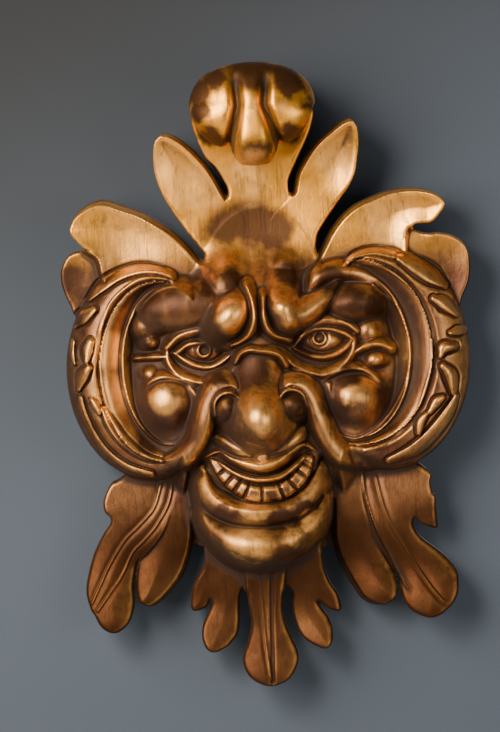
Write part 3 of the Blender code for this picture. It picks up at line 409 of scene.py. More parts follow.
# Lobes on the ears' borders: path and half widths in pixels
EAR_LOBES = {
    "left_long_upper": (
        ((176, 279), (160, 271.5), (140, 270), (120, 276), (103, 287), (90, 300)), (2, 4, 5.5, 6, 6, 3),
    ),
    "left_gutter": (((163, 460), (145, 455), (126, 441), (113, 424), (105, 408)), (2, 4, 5, 5, 3)),
    "left_lobe_1": (((76, 327), (83, 319), (95, 310)), (3, 7, 4)),
    "left_lobe_2": (((88, 362), (88, 352), (92, 342)), (3, 6, 4)),
    "left_lobe_2_rim": (((76, 364), (73, 354), (74, 342)), (2, 3.5, 3)),
    "left_lobe_3": (((80, 389), (84, 377), (90, 368)), (3, 6, 4)),
    "left_lobe_4": (((101, 413), (97, 405), (93, 399)), (2, 4, 2)),
    "left_long_lower": (
        ((82, 398), (84, 415), (92, 435), (106, 454), (127, 468), (152, 474)), (3, 6, 7, 7, 6, 4),
    ),
    "right_long_upper": (((344, 266), (355, 256), (372, 252), (392, 256)), (2, 3.5, 4, 4)),
    "right_upper_lobe": (((398, 259), (413, 266), (430, 276), (444, 286)), (4, 8, 9, 4)),
    "right_lobe_1": (((432, 299), (443, 304), (455, 315)), (4, 7, 3)),
    "right_lobe_2": (((449, 333), (456, 331), (463, 330)), (3, 5, 4)),
    "right_lobe_3": (((438, 356), (442, 348), (453, 346)), (3, 6, 4)),
    "right_lobe_4": (((441, 366), (449, 376), (452, 392)), (4, 7, 4)),
    "right_lobe_5": (((441, 397), (435, 401), (428, 411)), (3, 5, 3)),
    "right_lobe_6": (((425, 413), (419, 421), (417, 432)), (2.5, 4.5, 3)),
    "right_long_lower": (((455, 396), (447, 412), (432, 432), (413, 449), (388, 460)), (3, 6, 7, 7, 4)),
}

# Thin raised lines round the ears, in pixels
EAR_LINES = {
    "left_band_line": (
        (168, 280), (146, 279), (128.6, 287.5), (112.6, 303), (104.7, 323.4), (101, 346), (102.3, 374),
        (106.5, 396.7), (114.4, 419), (128.6, 438), (149.3, 455), (162, 459),
    ),
    "left_rim_line": (
        (178, 286), (163, 289), (149.3, 298), (135, 315.4), (126.4, 334.5), (123.4, 361.6), (125.6, 387),
        (135, 415.5), (149.3, 433.4), (162, 442.5), (176.4, 443.5), (185, 437),
    ),
    "right_band_line": (
        (357, 266), (367, 265.5), (381, 269), (396.8, 278), (414.3, 294), (426.5, 318), (431, 340),
        (430, 362.6), (423.9, 386.5), (415.5, 410), (401.3, 428), (384, 442), (363, 450),
    ),
    "right_rim_line": (
        (372, 285), (393.6, 305), (403, 324.3), (408.3, 343.5), (407.6, 365.8), (401.4, 388), (388.6, 412),
        (372.8, 429), (355.3, 438), (340, 434),
    ),
}

# Grooves down the beard and at the ends of its two slits, in pixels
GROOVES = {
    "beard_middle": ((271.8, 572), (271.8, 612), (272.5, 650), (273, 682)),
    "left_slit_end": ((243, 590), (243.5, 600)),
    "right_slit_end": ((286.5, 588), (287, 598)),
}

# Veins of the beard and the side leaves, in pixels
VEINS = {
    "beard_edge": ((258, 570), (260.4, 584), (262.7, 609.5), (267, 652), (271.8, 680)),
    "left_leaf_near": (
        (161.5, 484), (154, 509), (139, 527), (124.5, 542), (110.5, 565), (101.6, 584), (92, 605),
    ),
    "left_leaf_far": (
        (173, 484), (168, 506), (156.4, 527), (145, 541), (133, 554), (122, 577), (110.5, 594), (98, 612),
    ),
    "right_leaf_near": (
        (361, 470), (365, 492.6), (370, 513), (378, 534), (387, 552), (398.5, 575), (408, 590),
    ),
    "right_leaf_far": (
        (376, 478), (382.6, 504), (392, 527.7), (403, 545), (416, 566), (430.4, 586.7), (444, 603),
    ),
}

# Recessed strips between the side leaves and the jaw, in pixels
STRIPS = {
    "left_strip": ((198, 462), (194, 490), (193, 515), (196, 538)),
    "right_strip": ((326, 462), (333, 488), (333, 515), (330, 543)),
}

# Other sizes of the carving: in parts, if no line says otherwise
FLANK = 0.8  # the share of a boss where its round top turns into its straight flank
CREST_WIDTHS = (4.5, 7.5)  # half widths in pixels between which a ridge turns from a crest into a roll
RIDGE_REACH = 30  # how far from its path a ridge still counts
STRIP_DEPTH, STRIP_WIDTH = 30, 5
HALF_LEAF = 18  # half the width of a leaf, over which its rim is raised or lowered
WALL_SLOPE = 3  # how steeply a leaf's flared side wall falls
LEAF_TOP = 60  # the highest that a leaf stands
REACH = LEAF_TOP / WALL_SLOPE  # a leaf's side wall falls to the wall plane in this distance
LEAF_BLEND = 1  # rounding where one lower leaf meets the next
CUP_FROM = (0.3, 0.6)  # shares of a leaf's length between which its cupping comes in

# An ear's border: foot and rise, the share of its width where its top lies, and its drop from there
BORDER_FOOT, BORDER_RISE, BORDER_TOP, BORDER_DROP = 36, 27, 0.8, 4
OUTER_FALL = 600  # how steeply the border falls to the wall
# An ear's hollow band: depth at its outer edge, how far it sinks, the shares of its floor and lip, the lip
BAND_OUTER, BAND_SUNK, BAND_FLOOR, BAND_EDGE, BAND_LIP = 62, 10, 0.8, 0.95, 3.5
BOWL_RIM, BOWL_FALL = 55, 70  # depth at the bowl's rim, and how steeply it falls inside
RING_HIDDEN = 20  # depth of a ring where it has faded out
EAR_BLEND = 1.5

# Eyes: the ball, the ring cut round the pupil, and the drilled pupil with its soft edge
EYE_FOOT, EYE_RISE, EYE_BLEND = 50, 17, 1.5
IRIS, IRIS_DEPTH = 6.8, 1.6
PUPIL, PUPIL_DEPTH, PUPIL_EDGE = 3.5, 4.5, 0.9

# Mouth: points along the row and the outline, the soft edge, depth of the row's ends and its bow, and a
# tooth's stand above that and its fall
ROW_POINTS = 90
MOUTH_POINTS, MOUTH_EDGE = 120, (-0.6, 0.8)
TOOTH_DEPTH, TOOTH_BOW, TOOTH_STAND, TOOTH_FALL = 64, 16, 3, 8
TOOTH_HALF, TOOTH_SHORTER = 6.2, 1.8  # half height of the middle teeth, and how much less at the ends
GAP_WIDTH, GAP_DEPTH, TOOTH_ROUNDING = 0.011, 3, 2  # the first is a share of the row
GUM_SUNK, GUM_RISE, GUM_WIDTH = 5, 6, 2.8

# Fine carving: rise and width of a raised line, then depth and width of the hollow along it
EAR_LINE = (1.6, 1, 0.9, 2.6)
VEIN_LINE = (1.6, 0.9, 1.2, 2.8)
GROOVE_DEPTH, GROOVE_WIDTH = 2.2, 1.3
LOBE_RISE, LOBE_REACH = 4.6, 14
LOBE_GROOVE, LOBE_GROOVE_AT, LOBE_GROOVE_WIDTH = 2.0, 1.18, 0.2  # the last two are shares of a lobe's width

# The face's low dome, its fall outside its ovals, and its blends with what lies round it
DOME, DOME_FOOT, DOME_RISE = (-1, -30, 114, 132), 38, 34
FACE_FALL, FACE_FALL_REACH, EAR_OVAL_REACH = 1.2, 60, 50
FACE_BLEND, FOREHEAD_BLEND, FOREHEAD_LEVELS = 2, 8, (35, 65)
# The dished crown sheet, and how far it is sunk at the edge of the forehead's oval
CROWN_DEPTH, NECK_RISE, NECK_LEVELS = 46, 6, (150, 230)
DISH_DEPTH, DISH_HEIGHT, DISH_ACROSS, DISH_UP = 4, 110, 34, 24
FOREHEAD_SUNK, FOREHEAD_EDGE = 7, 16
# An oval behind the end of the right smile fold, where the outlines of the jaw and the ear leave a pinhole
FOLD_END = (61, -74, 14, 12)

# Borders between the pieces, as x or z
EAR_FROM, SIDE_LEAF_FROM = 52, 56
CROWN_FROM, LEAVES_BELOW, BEARD_BELOW = 66, -62, -146

# Half widths of the windows that find fine and broad hollows
FINE_WINDOW, BROAD_WINDOW = 2.4, 9

# Places of brown patina with painted shade, and of rubbed gold with painted highlights: pixels, and a radius
# in parts
# The patina places also paint shade where it falls: on top faces, undersides, nostrils, eye sockets and ear
# bowls
PATINA_AND_SHADE = (
    (226, 230, 27), (250, 226, 32), (275, 232, 27), (229, 280, 15), (284, 276, 16), (157, 306, 22),
    (176, 302, 26), (195, 304, 22), (204, 292, 16), (352, 298, 22), (330, 284, 16), (368, 302, 16),
    (74, 280, 22), (80, 294, 16), (215, 84, 16), (250, 70, 30), (287, 80, 18), (200, 96, 17),
    (204, 116, 11), (213, 137, 13), (255, 158, 20), (289, 134, 13), (303, 110, 11),
    (293, 92, 14), (258, 366, 18), (228, 408, 11), (293, 404, 11), (348, 376, 13), (388, 400, 22),
    (150, 438, 18), (140, 350, 14), (335, 404, 12), (206, 336, 16), (218, 380, 9), (300, 348, 12),
    (262, 521, 10), (285, 517, 10), (238, 518, 10), (219, 510, 8), (305, 509, 8), (248, 521, 9),
    (274, 520, 9),
)
# The rubbed places also paint highlights where the light catches the nose, brows, cheeks, chin, scroll bulbs
# and crown
RUBBED_AND_HIGHLIGHTS = (
    (260, 416, 22), (233, 316, 13), (283, 308, 10), (165, 398, 9), (353, 394, 8), (248, 543, 24),
    (312, 520, 8), (290, 534, 9),
    (255, 504, 10), (258, 455, 22), (112, 400, 22), (110, 350, 16), (404, 350, 20), (252, 116, 12),
    (222, 106, 7), (282, 112, 6), (195, 190, 30), (250, 178, 24), (140, 235, 40), (165, 160, 26),
    (330, 160, 22), (390, 225, 30),
)

# The scroll: centre of its roll, its radius, and its sides and creases from its bottom (-1) to its top (1)
SCROLL_CENTRE = (2, 200)
SCROLL_DEPTH = 74
SCROLL_RADIUS = 33
TONGUE_HANG = 15  # how far the middle tongue hangs below the two bulbs
CREASE_DEPTH = 9
CREASE_WIDTH = 4
SCROLL_POWER, SCROLL_FULLER = 2.2, 1.8  # power of its section above the axis, and how much more below it
SCROLL_END = 0.985  # how near its end rings come to its ends
SCROLL_ROUND, SCROLL_RINGS = 240, 180
CREASE_TOP = (0.9, 0.4)  # levels between which the creases come in, from its top down
# A crease's loss makes the paint lay dirt and painted shade in it
CREASE_FINE, CREASE_BROAD = (0.3, 1.5), (1.5, 6)  # the paint's reading beside a crease, and the loss in it
SCROLL_LEVELS = (-1, -0.5, 0, 1)
SCROLL_LEFT = (-36, -43, -48, -48)
SCROLL_RIGHT = (34, 42, 48, 48)
LEFT_CREASE = (-18, -14, -11, -13)
RIGHT_CREASE = (19, 14, 9, 12)

# Reach of the carving grid, across and up, in parts
GRID_ACROSS = (-156, 172)
GRID_UP = (-254, 233)

# Paint, in metres: where the gilded crown and the red-brown leaves begin and are whole, and ragged borders
# The crown's gold is partly painted light and the low leaves' red-brown partly painted shade, for how the
# light falls on them
CROWN_LEVELS = (0.07, 0.11)
LOW_LEVELS = (-0.06, -0.15)
ASIDE_LEVELS = (0.03, 0.07)
RAGGED = 0.006
# How strongly each layer covers, and the share of a place's radius within which it does so wholly
PATINA_AND_SHADE_WEIGHT, PATINA_AND_SHADE_SOLID = 0.96, 0.4
RUBBED_AND_HIGHLIGHT_WEIGHT, RUBBED_AND_HIGHLIGHT_SOLID = 0.7, 0.3
RUBBED_RIDGES, STREAK_WEIGHT, GRIME_AND_SHADE_WEIGHT = 0.6, 0.45, 0.9
# Scales of the noise, per metre: drag lines and bands along Z, mottle, pits and their areas, patches, specks
DRAG_LINES, DRAG_BANDS = (620, 620, 34), (150, 150, 12)
MOTTLE, PIT_SCALE, PIT_AREAS, PATCHES, SPECKS = 420, 210, 38, 22, 130
COAT_ROUGH = 0.25

# Stage, in metres: half size of the wall and floor, the wall's gap, the floor's level and where the wall's
# painted shade runs
WIDE = 3.0
WALL_GAP = 0.002
FLOOR_AT = -0.9
WALL_SHADE = (-0.1, 0.45)
WALL_ROUGH, FLOOR_ROUGH = 0.8, 0.7
LIT_SPOT = (0, -0.05, 0)
CAMERA_TARGET = (-0.0085, -0.06, 0.0005)
ROOM_COLOUR = (1, 0.96, 0.92, 1)
# Each light: the setting of its power, its place, its width and its colour
LIGHTS = {
    "window": ("key_power", (-0.85, -1.0, 0.4), 1.3, (1, 0.90, 0.76)),
    "right_fill": ("fill_power", (0.9, -1.0, -0.1), 0.9, (1, 0.95, 0.9)),
    "front_fill": ("front_power", (-0.6, -1.25, 0.55), 0.5, (1, 0.91, 0.78)),
    "rear_fill": ("rear_power", (0.5, 1.3, 0.5), 1.0, (1, 0.97, 0.93)),
}


def place(pixels):
    """Pixels of the photograph as (x, z) in parts: moved to the object's axis, turned upright and scaled."""
    px, py = np.asarray(pixels, float).T
    dx, dy = px - PICTURE_AXIS[0], py - PICTURE_AXIS[1]
    c, s = math.cos(PICTURE_TURN), math.sin(PICTURE_TURN)
    return np.stack([(dx * c - dy * s + PICTURE_SHIFT) * PIXEL, -(dx * s + dy * c) * PIXEL], -1)


def curve(points, samples=40):
    """A smooth curve through the points: the Catmull-Rom cubic, at even steps from the first to the last."""
    p = np.asarray(points, float)
    p = np.vstack([2 * p[0] - p[1], p, 2 * p[-1] - p[-2]])
    t = np.linspace(0, len(p) - 3 - 1e-9, samples)
    i = t.astype(int)
    f = (t - i)[:, None]
    a, b, c, d = p[i], p[i + 1], p[i + 2], p[i + 3]
    cubic = 3 * b - a - 3 * c + d
    return 0.5 * (2 * b + (c - a) * f + (2 * a - 5 * b + 4 * c - d) * f**2 + cubic * f**3)


def along(values, t):
    """A value that runs smoothly through the given values as t goes from 0 to 1."""
    line = curve([(i, v) for i, v in enumerate(values)])[:, 1]
    return np.interp(t, np.linspace(0, 1, len(line)), line)


def ramp(low, high, value):
    t = np.clip((value - low) / (high - low), 0, 1)
    return t * t * (3 - 2 * t)


def bell(value, width):
    return np.exp(-((value / width) ** 2))


def join(a, b, blend):
    """The higher of two depths, rounded where they meet."""
    h = np.clip(0.5 + 0.5 * (a - b) / blend, 0, 1)
    return b + (a - b) * h + blend * h * (1 - h)


def box_around(x, z, line, reach):
    low, high = line.min(0) - reach, line.max(0) + reach
    return (x > low[0]) & (x < high[0]) & (z > low[1]) & (z < high[1])


def nearest(x, z, line, reach):
    """How far along the line each point's nearest spot is, from 0 to 1, its distance and its side."""
    t = np.zeros_like(x)
    distance = np.full_like(x, -FAR)
    side = np.zeros_like(x)
    here = box_around(x, z, line, reach)
    px, pz = x[here], z[here]
    best = np.full(px.shape, 1e9)
    best_t = np.zeros_like(px)
    best_side = np.zeros_like(px)
    for i, (start, step) in enumerate(zip(line, np.diff(line, axis=0))):
        ax, az = px - start[0], pz - start[1]
        f = np.clip((ax * step[0] + az * step[1]) / (step @ step), 0, 1)
        square = (ax - f * step[0]) ** 2 + (az - f * step[1]) ** 2
        closer = square < best
        best = np.where(closer, square, best)
        best_t = np.where(closer, (i + f) / (len(line) - 1), best_t)
        best_side = np.where(closer, np.sign(step[0] * az - step[1] * ax), best_side)
    t[here] = best_t
    distance[here] = np.sqrt(best)
    side[here] = best_side
    return t, distance, side


def inside(x, z, outline, reach):
    """Distance to a closed outline, positive inside it and never below -reach."""
    signed = np.full_like(x, -reach)
    here = box_around(x, z, outline, reach)
    px, pz = x[here], z[here]
    best = np.full(px.shape, 1e9)
    within = np.zeros(px.shape, bool)
    for start, end in zip(outline, np.roll(outline, -1, 0)):
        step = end - start
        f = np.clip(((px - start[0]) * step[0] + (pz - start[1]) * step[1]) / (step @ step + 1e-12), 0, 1)
        best = np.minimum(best, (px - start[0] - f * step[0]) ** 2 + (pz - start[1] - f * step[1]) ** 2)
        if step[1] != 0:
            level = (start[1] > pz) != (end[1] > pz)
            within ^= level & (px < start[0] + (pz - start[1]) * step[0] / step[1])
    signed[here] = np.maximum(np.where(within, 1, -1) * np.sqrt(best), -reach)
    return signed


def oval(x, z, shape):
    """Distance-like share of an oval: 1 on its edge, 0 at its centre."""
    cx, cz, rx, rz = shape
    return np.hypot((x - cx) / rx, (z - cz) / rz)


def cap(q):
    """Round on top, sqrt(1 - q^2), then straight down its flanks from q = FLANK on."""
    level = math.sqrt(1 - FLANK**2)
    return np.where(q < FLANK, np.sqrt(np.clip(1 - q * q, 0, 1)), level - (q - FLANK) * FLANK / level)


def leaf(x, z, outline, spine, depths, cup, flare):
    """Distances inside a leaf's front edge and inside its flared side wall, and its depth.

    The depth runs along the spine from root to tip, and cup * (1 - share)^2 raises or lowers the rim, share
    being the distance from the edge over half a leaf's width. That fades at the root. The side wall is the
    front's outline pushed by the flare.
    """
    edge = curve(place((*outline, outline[0])), 5 * len(outline))[:-1]
    signed = inside(x, z, edge, REACH)
    pushed = inside(x - flare[0], z - flare[1], edge, REACH) if any(flare) else signed
    root, tip = place(spine)
    heading = (tip - root) / ((tip - root) @ (tip - root))
    t = np.clip((x - root[0]) * heading[0] + (z - root[1]) * heading[1], 0, 1)
    share = np.clip(signed / HALF_LEAF, 0, 1)
    rim = cup * (1 - share) ** 2 * ramp(*CUP_FROM, t)
    return signed, np.maximum(signed, pushed), along(depths, t) + rim


def boss(x, z, px, py, rx, ry, turn, foot, rise):
    """An egg standing out of the surface: foot + rise * cap(q), q being the share of its turned oval."""
    cx, cz = place((px, py))
    c, s = math.cos(math.radians(turn)), math.sin(math.radians(turn))
    u = ((x - cx) * c + (z - cz) * s) / (rx * PIXEL)
    v = ((z - cz) * c - (x - cx) * s) / (ry * PIXEL)
    return foot + rise * cap(np.hypot(u, v))


def ridge(x, z, path, widths, feet, rises, lean=0):
    """A tapering roll along a path: foot + rise * cap(distance / width), steeper on one side if it leans.

    A narrow one is a sharp crest with hollow flanks instead, exp(-1.7 q^2).
    """
    t, distance, side = nearest(x, z, curve(place(path), 12 * len(path)), RIDGE_REACH)
    width = along(widths, t)
    q = distance / (width * PIXEL * (1 - lean * side))
    crest = np.exp(-1.7 * q * q) - 0.7 * np.clip(q - 1, 0, None)
    roll = ramp(*CREST_WIDTHS, width)
    profile = crest * (1 - roll) + cap(q) * roll
    top = along(feet, t) + along(rises, t) * profile - np.clip(distance - width * PIXEL, 0, None)
    return np.where(distance < -FAR / 2, top, FAR)


def drawn(x, z, path, width, samples=72):
    """1 along a path and 0 away from it, as the bell curve of the distance."""
    _, distance, _ = nearest(x, z, curve(place(path), samples), 5 * width)
    return bell(distance, width)


def ear_ring(x, z, side):
    """The C-shaped ear: a rolled border, a hollow band and the rim of the bowl, between three ovals."""
    outer, band, bowl = EAR_RINGS[side]
    out, mid, rim = (oval(x, z, shape) for shape in (outer, band, bowl))
    border_share = np.clip((1 - out) / np.maximum((1 - out) + (mid - 1), 1e-3), 0, 1)
    band_share = np.clip((1 - mid) / np.maximum((1 - mid) + (rim - 1), 1e-3), 0, 1)
    border = BORDER_FOOT + BORDER_RISE * np.clip(1 - (1 - border_share / BORDER_TOP) ** 2, 0, 1) ** 0.6
    beyond = BORDER_FOOT + BORDER_RISE - BORDER_DROP * ramp(BORDER_TOP, 1, border_share)
    border = np.where(border_share > BORDER_TOP, beyond, border)
    hollow = BAND_OUTER - BAND_SUNK * ramp(0, BAND_FLOOR, band_share)
    hollow = hollow + BAND_LIP * ramp(BAND_FLOOR, BAND_EDGE, band_share)
    height = np.where(mid > 1, border, hollow)
    height = np.where((rim < 1) & (mid < 1), BOWL_RIM - BOWL_FALL * (1 - rim), height)
    height = np.where(out > 1, BORDER_FOOT - OUTER_FALL * (out - 1), height)
    upper, lower = RING_TIPS[side]
    shown = np.where(z > 0, ramp(*upper, side * x), ramp(*lower, side * x))
    return (1 - out) * outer[2], height * shown + (1 - shown) * RING_HIDDEN


def eyeballs(x, z, height):
    """Two balls, each with a drilled pupil in a ring."""
    for px, py, rx, ry, pupil_x, pupil_y in EYES.values():
        height = join(height, boss(x, z, px, py, rx, ry, 0, EYE_FOOT, EYE_RISE), EYE_BLEND)
        cx, cz = place((pupil_x, pupil_y))
        r = np.hypot(x - cx, z - cz)
        drilled = ramp(PUPIL + PUPIL_EDGE, PUPIL - PUPIL_EDGE, r)
        height = height - IRIS_DEPTH * bell(r - IRIS, 1) - PUPIL_DEPTH * drilled
    return height


def mouth(x, z, height):
    """The open mouth sunk between the lips, with its gum line and a row of teeth along an arc."""
    outline = curve(place((*MOUTH, MOUTH[0])), MOUTH_POINTS)[:-1]
    open_here = ramp(*MOUTH_EDGE, inside(x, z, outline, 6))
    arc = curve(place(TEETH_ARC), ROW_POINTS)
    t, distance, _ = nearest(x, z, arc, REACH)
    gaps = np.interp(TOOTH_GAPS, curve(TEETH_ARC, ROW_POINTS)[:, 0], np.linspace(0, 1, ROW_POINTS))
    gap = np.max([bell(t - at, GAP_WIDTH) for at in gaps], axis=0)
    plane = TOOTH_DEPTH + TOOTH_BOW * np.clip(1 - ((t - 0.5) / 0.6) ** 2, 0, 1)
    half = TOOTH_HALF - TOOTH_SHORTER * (2 * t - 1) ** 2
    rounding = GAP_DEPTH * gap + TOOTH_ROUNDING * ramp(0.5, 1, distance / half)
    tooth = plane + TOOTH_STAND - rounding - TOOTH_FALL * ramp(half, half + 1, distance)
    row = join(tooth, plane - GUM_SUNK, 0.6)
    row = join(row, plane - GUM_SUNK + 2 * GUM_RISE * drawn(x, z, GUM, GUM_WIDTH), 1)
    return height * (1 - open_here) + row * open_here


def face(x, z):
    """The grimacing face on a low dome: sockets sunk, then bosses and ridges joined on, then the mouth."""
    height = DOME_FOOT + DOME_RISE * np.clip(1 - oval(x, z, DOME) ** 2, 0, 1)
    for cx, cz, rx, rz, rise in EYE_SOCKETS:
        height = height + rise * np.exp(-(((x - cx) / rx) ** 2) - ((z - cz) / rz) ** 2)
    for path in STRIPS.values():
        height = height - STRIP_DEPTH * drawn(x, z, path, STRIP_WIDTH)
    height = eyeballs(x, z, height)
    for *shape, blend in BOSSES.values():
        height = join(height, boss(x, z, *shape), blend)
    for name, (*shape, blend, lean) in RIDGES.items():
        if name == "chin":
            height = mouth(x, z, height)
        height = join(height, ridge(x, z, *shape, lean), blend)
    return height


def crown_sheet(x, z):
    """The dished board that all the crown leaves are cut from."""
    dish = DISH_DEPTH * np.exp(-((x / DISH_ACROSS) ** 2) - ((z - DISH_HEIGHT) / DISH_UP) ** 2)
    return CROWN_DEPTH - dish + NECK_RISE * ramp(*NECK_LEVELS, z)


def ornament(x, z):
    """Fine carving laid over the forms: the ears' lobes and lines, then the veins and the grooves."""
    q = np.full_like(x, 3.0)
    for path, widths in EAR_LOBES.values():
        t, distance, _ = nearest(x, z, curve(place(path), 10 * len(path)), LOBE_REACH)
        q = np.minimum(q, distance / (along(widths, t) * PIXEL))
    fine = LOBE_RISE * np.sqrt(np.clip(1 - q * q, 0, 1))
    fine = fine - LOBE_GROOVE * bell(q - LOBE_GROOVE_AT, LOBE_GROOVE_WIDTH)
    for paths, (rise, width, depth, reach) in ((EAR_LINES, EAR_LINE), (VEINS, VEIN_LINE)):
        for path in paths.values():
            fine = fine + rise * drawn(x, z, path, width) - depth * drawn(x, z, path, reach)
    for path in GROOVES.values():
        fine = fine - GROOVE_DEPTH * drawn(x, z, path, GROOVE_WIDTH)
    return fine


def relief(x, z):
    """Inside distance of the whole outline, and depth of the front, both in parts."""
    edge = np.full_like(x, -REACH)
    height = np.full_like(x, FAR)

    def lay(signed, wall, top, blend):
        nonlocal edge, height
        edge = np.maximum(edge, wall)
        top = np.where(signed > -REACH, top - WALL_SLOPE * np.clip(-signed, 0, REACH), FAR)
        height = join(height, top, blend) if blend else np.maximum(height, top)

    sheet = crown_sheet(x, z)
    for shape in CROWN_LEAVES.values():
        signed, wall, rise = leaf(x, z, *shape)
        lay(signed, wall, sheet + rise, 0)
    for shape in LOWER_LEAVES.values():
        signed, wall, rise = leaf(x, z, *shape)
        lay(signed, wall, rise, LEAF_BLEND)
    solid = {shape: (1 - oval(x, z, shape)) * min(shape[2:]) for shape in (FOREHEAD, MIDDLE, JAW)}
    sunk = sheet - FOREHEAD_SUNK * ramp(FOREHEAD_EDGE, 0, solid[FOREHEAD])
    lay(solid[FOREHEAD], solid[FOREHEAD], sunk, 0)
    reach = np.maximum.reduce([solid[FOREHEAD], solid[MIDDLE], solid[JAW]])
    for side in EAR_RINGS:
        signed, top = ear_ring(x, z, side)
        edge = np.maximum(edge, signed)
        height = join(height, top, EAR_BLEND)
        reach = np.maximum(reach, (1 - oval(x, z, EAR_RINGS[side][1])) * EAR_OVAL_REACH)
    fold = (1 - oval(x, z, FOLD_END)) * min(FOLD_END[2:])
    edge = np.maximum.reduce([edge, solid[MIDDLE], solid[JAW], fold])
    top = face(x, z) - FACE_FALL * np.clip(-reach, 0, FACE_FALL_REACH)
    height = join(height, top, FACE_BLEND + FOREHEAD_BLEND * ramp(*FOREHEAD_LEVELS, z))
    return edge, height + ornament(x, z)


def scroll_surface(round_count, across_count):
    """The roll at the top, as a radius round a level axis: two bulbs with a tongue hanging between them.

    Its section at a share a of its half width has the radius SCROLL_RADIUS * (1 - |a|^p)^(1/p), where p is
    2.2 above the axis and 4 below it, so that it is round on top and fuller where it hangs.
    """
    turn = np.linspace(0, 2 * np.pi, round_count, endpoint=False)
    across = np.sin(np.linspace(-1, 1, across_count + 2)[1:-1] * np.pi / 2 * SCROLL_END)
    turn, across = np.meshgrid(turn, across)
    up, ahead = np.sin(turn), np.cos(turn)
    power = SCROLL_POWER + SCROLL_FULLER * ramp(0.2, -0.6, up)
    share = (1 - np.abs(across) ** power) ** (1 / power)
    level = up * share
    lines = (SCROLL_LEFT, SCROLL_RIGHT, LEFT_CREASE, RIGHT_CREASE)
    left, right, left_crease, right_crease = (np.interp(level, SCROLL_LEVELS, line) for line in lines)
    x = (left + right) / 2 + across * (right - left) / 2
    front = ramp(-0.4, 0.3, ahead)
    between = ramp(-1.5, 1.5, x - left_crease) * ramp(-1.5, 1.5, right_crease - x)
    middle = (x - (left_crease + right_crease) / 2) / (right_crease - left_crease) * 2
    hang = TONGUE_HANG * ramp(-0.1, -0.9, up) * between * np.sqrt(np.clip(1 - 0.5 * middle**2, 0, 1))
    crease = bell(x - left_crease, CREASE_WIDTH) + bell(x - right_crease, CREASE_WIDTH)
    crease = CREASE_DEPTH * crease * ramp(*CREASE_TOP, up)
    radius = SCROLL_RADIUS * share + front * (hang - crease * (1 - across**4))
    points = np.stack(
        [
            (SCROLL_CENTRE[0] + x) * PART,
            -(SCROLL_DEPTH + radius * ahead) * DEEP,
            (SCROLL_CENTRE[1] + radius * up) * PART,
        ],
        -1,
    )
    number = np.arange(x.size).reshape(x.shape)
    beside = np.roll(number, -1, 1)
    quads = np.stack([number[:-1], number[1:], beside[1:], beside[:-1]], -1).reshape(-1, 4).tolist()
    quads.append(number[0].tolist())
    quads.append(number[-1, ::-1].tolist())
    return points.reshape(-1, 3), quads


def back(x, z, height, look):
    """Depth of the back: flat on the wall in the middle, rising until only a leaf's thickness is left."""
    outside = -np.maximum.reduce([(1 - oval(x, z, shape)) * min(shape[2:]) for shape in FLAT_BACK])
    lift = look.lift_slope * np.clip(outside - look.lift_start / PART, 0, None)
    return np.clip(np.minimum(lift, height - look.leaf_thickness / DEEP), 0, None)


def with_whole_corners(cells):
    """The cells with gaps filled wherever two of them would touch only at a corner."""
    for _ in range(4):
        a, b, c, d = cells[1:, 1:], cells[:-1, :-1], cells[1:, :-1], cells[:-1, 1:]
        pinch = (a & b & ~c & ~d) | (c & d & ~a & ~b)
        for quarter in (a, b, c, d):
            quarter |= pinch
    return cells


def carving_grid(step):
    """Grid points over the outline, the cells that it covers, and the points pulled onto its edge."""
    across = np.arange(*GRID_ACROSS, step)
    up = np.arange(*GRID_UP, step)
    x, z = np.meshgrid(across, up)
    edge, _ = relief(x, z)
    slope_z, slope_x = np.gradient(edge, step)
    steep = np.maximum(slope_x**2 + slope_z**2, 0.3)
    within = edge > 0
    cells = with_whole_corners(within[1:, 1:] | within[:-1, 1:] | within[1:, :-1] | within[:-1, :-1])
    pull = np.clip(np.where(within, 0, -edge) / steep, 0, 1.3 * step)
    return x + slope_x * pull, z + slope_z * pull, cells


def blurred(values, cells, radius):
    """Box blur over the covered cells only: the sum in a square window over the count there."""
    cover = np.zeros(values.shape)
    cover[:-1, :-1] += cells
    cover[1:, 1:] += cells
    cover = (cover > 0).astype(float)
    sums = []
    for field in (values * cover, cover):
        padded = np.pad(field, radius + 1)
        total = padded.cumsum(0).cumsum(1)
        size = 2 * radius + 1
        sums.append(total[size:, size:] - total[:-size, size:] - total[size:, :-size] + total[:-size, :-size])
    rows, columns = values.shape
    top, bottom = (window[1 : rows + 1, 1 : columns + 1] for window in sums)
    return top / np.maximum(bottom, 1)


def areas(x, z):
    """Which piece each cell of the grid belongs to, by its middle."""
    left = (oval(x, z, EAR_RINGS[-1][0]) < 1) & (oval(x, z, EAR_RINGS[-1][2]) > 1) & (x < -EAR_FROM)
    right = (oval(x, z, EAR_RINGS[1][0]) < 1) & (oval(x, z, EAR_RINGS[1][2]) > 1) & (x > EAR_FROM)
    crown = (z > CROWN_FROM) & ~left & ~right
    low = (z < LEAVES_BELOW) & ~left & ~right
    left_leaf = low & (x < -SIDE_LEAF_FROM)
    right_leaf = low & (x > SIDE_LEAF_FROM)
    beard = (z < BEARD_BELOW) & ~left_leaf & ~right_leaf
    rest = ~(left | right | crown | left_leaf | right_leaf | beard)
    return {
        "carved_crown": crown,
        "left_ear": left,
        "right_ear": right,
        "grimacing_face": rest,
        "left_side_leaf": left_leaf,
        "right_side_leaf": right_leaf,
        "leafy_beard": beard,
    }


def add_piece(name, points, quads, materials):
    mesh = bpy.data.meshes.new(name)
    mesh.from_pydata(points, [], quads)
    mesh.update()
    piece = bpy.data.objects.new(name, mesh)
    bpy.context.scene.collection.objects.link(piece)
    for material in materials:
        mesh.materials.append(material)
    mesh.shade_smooth()
    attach(piece, "root")
    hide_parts(NODE)
    return piece


def set_values(mesh, name, values):
    attribute = mesh.attributes.new(name, "FLOAT", "POINT")
    attribute.data.foreach_set("value", np.asarray(values, np.float32))


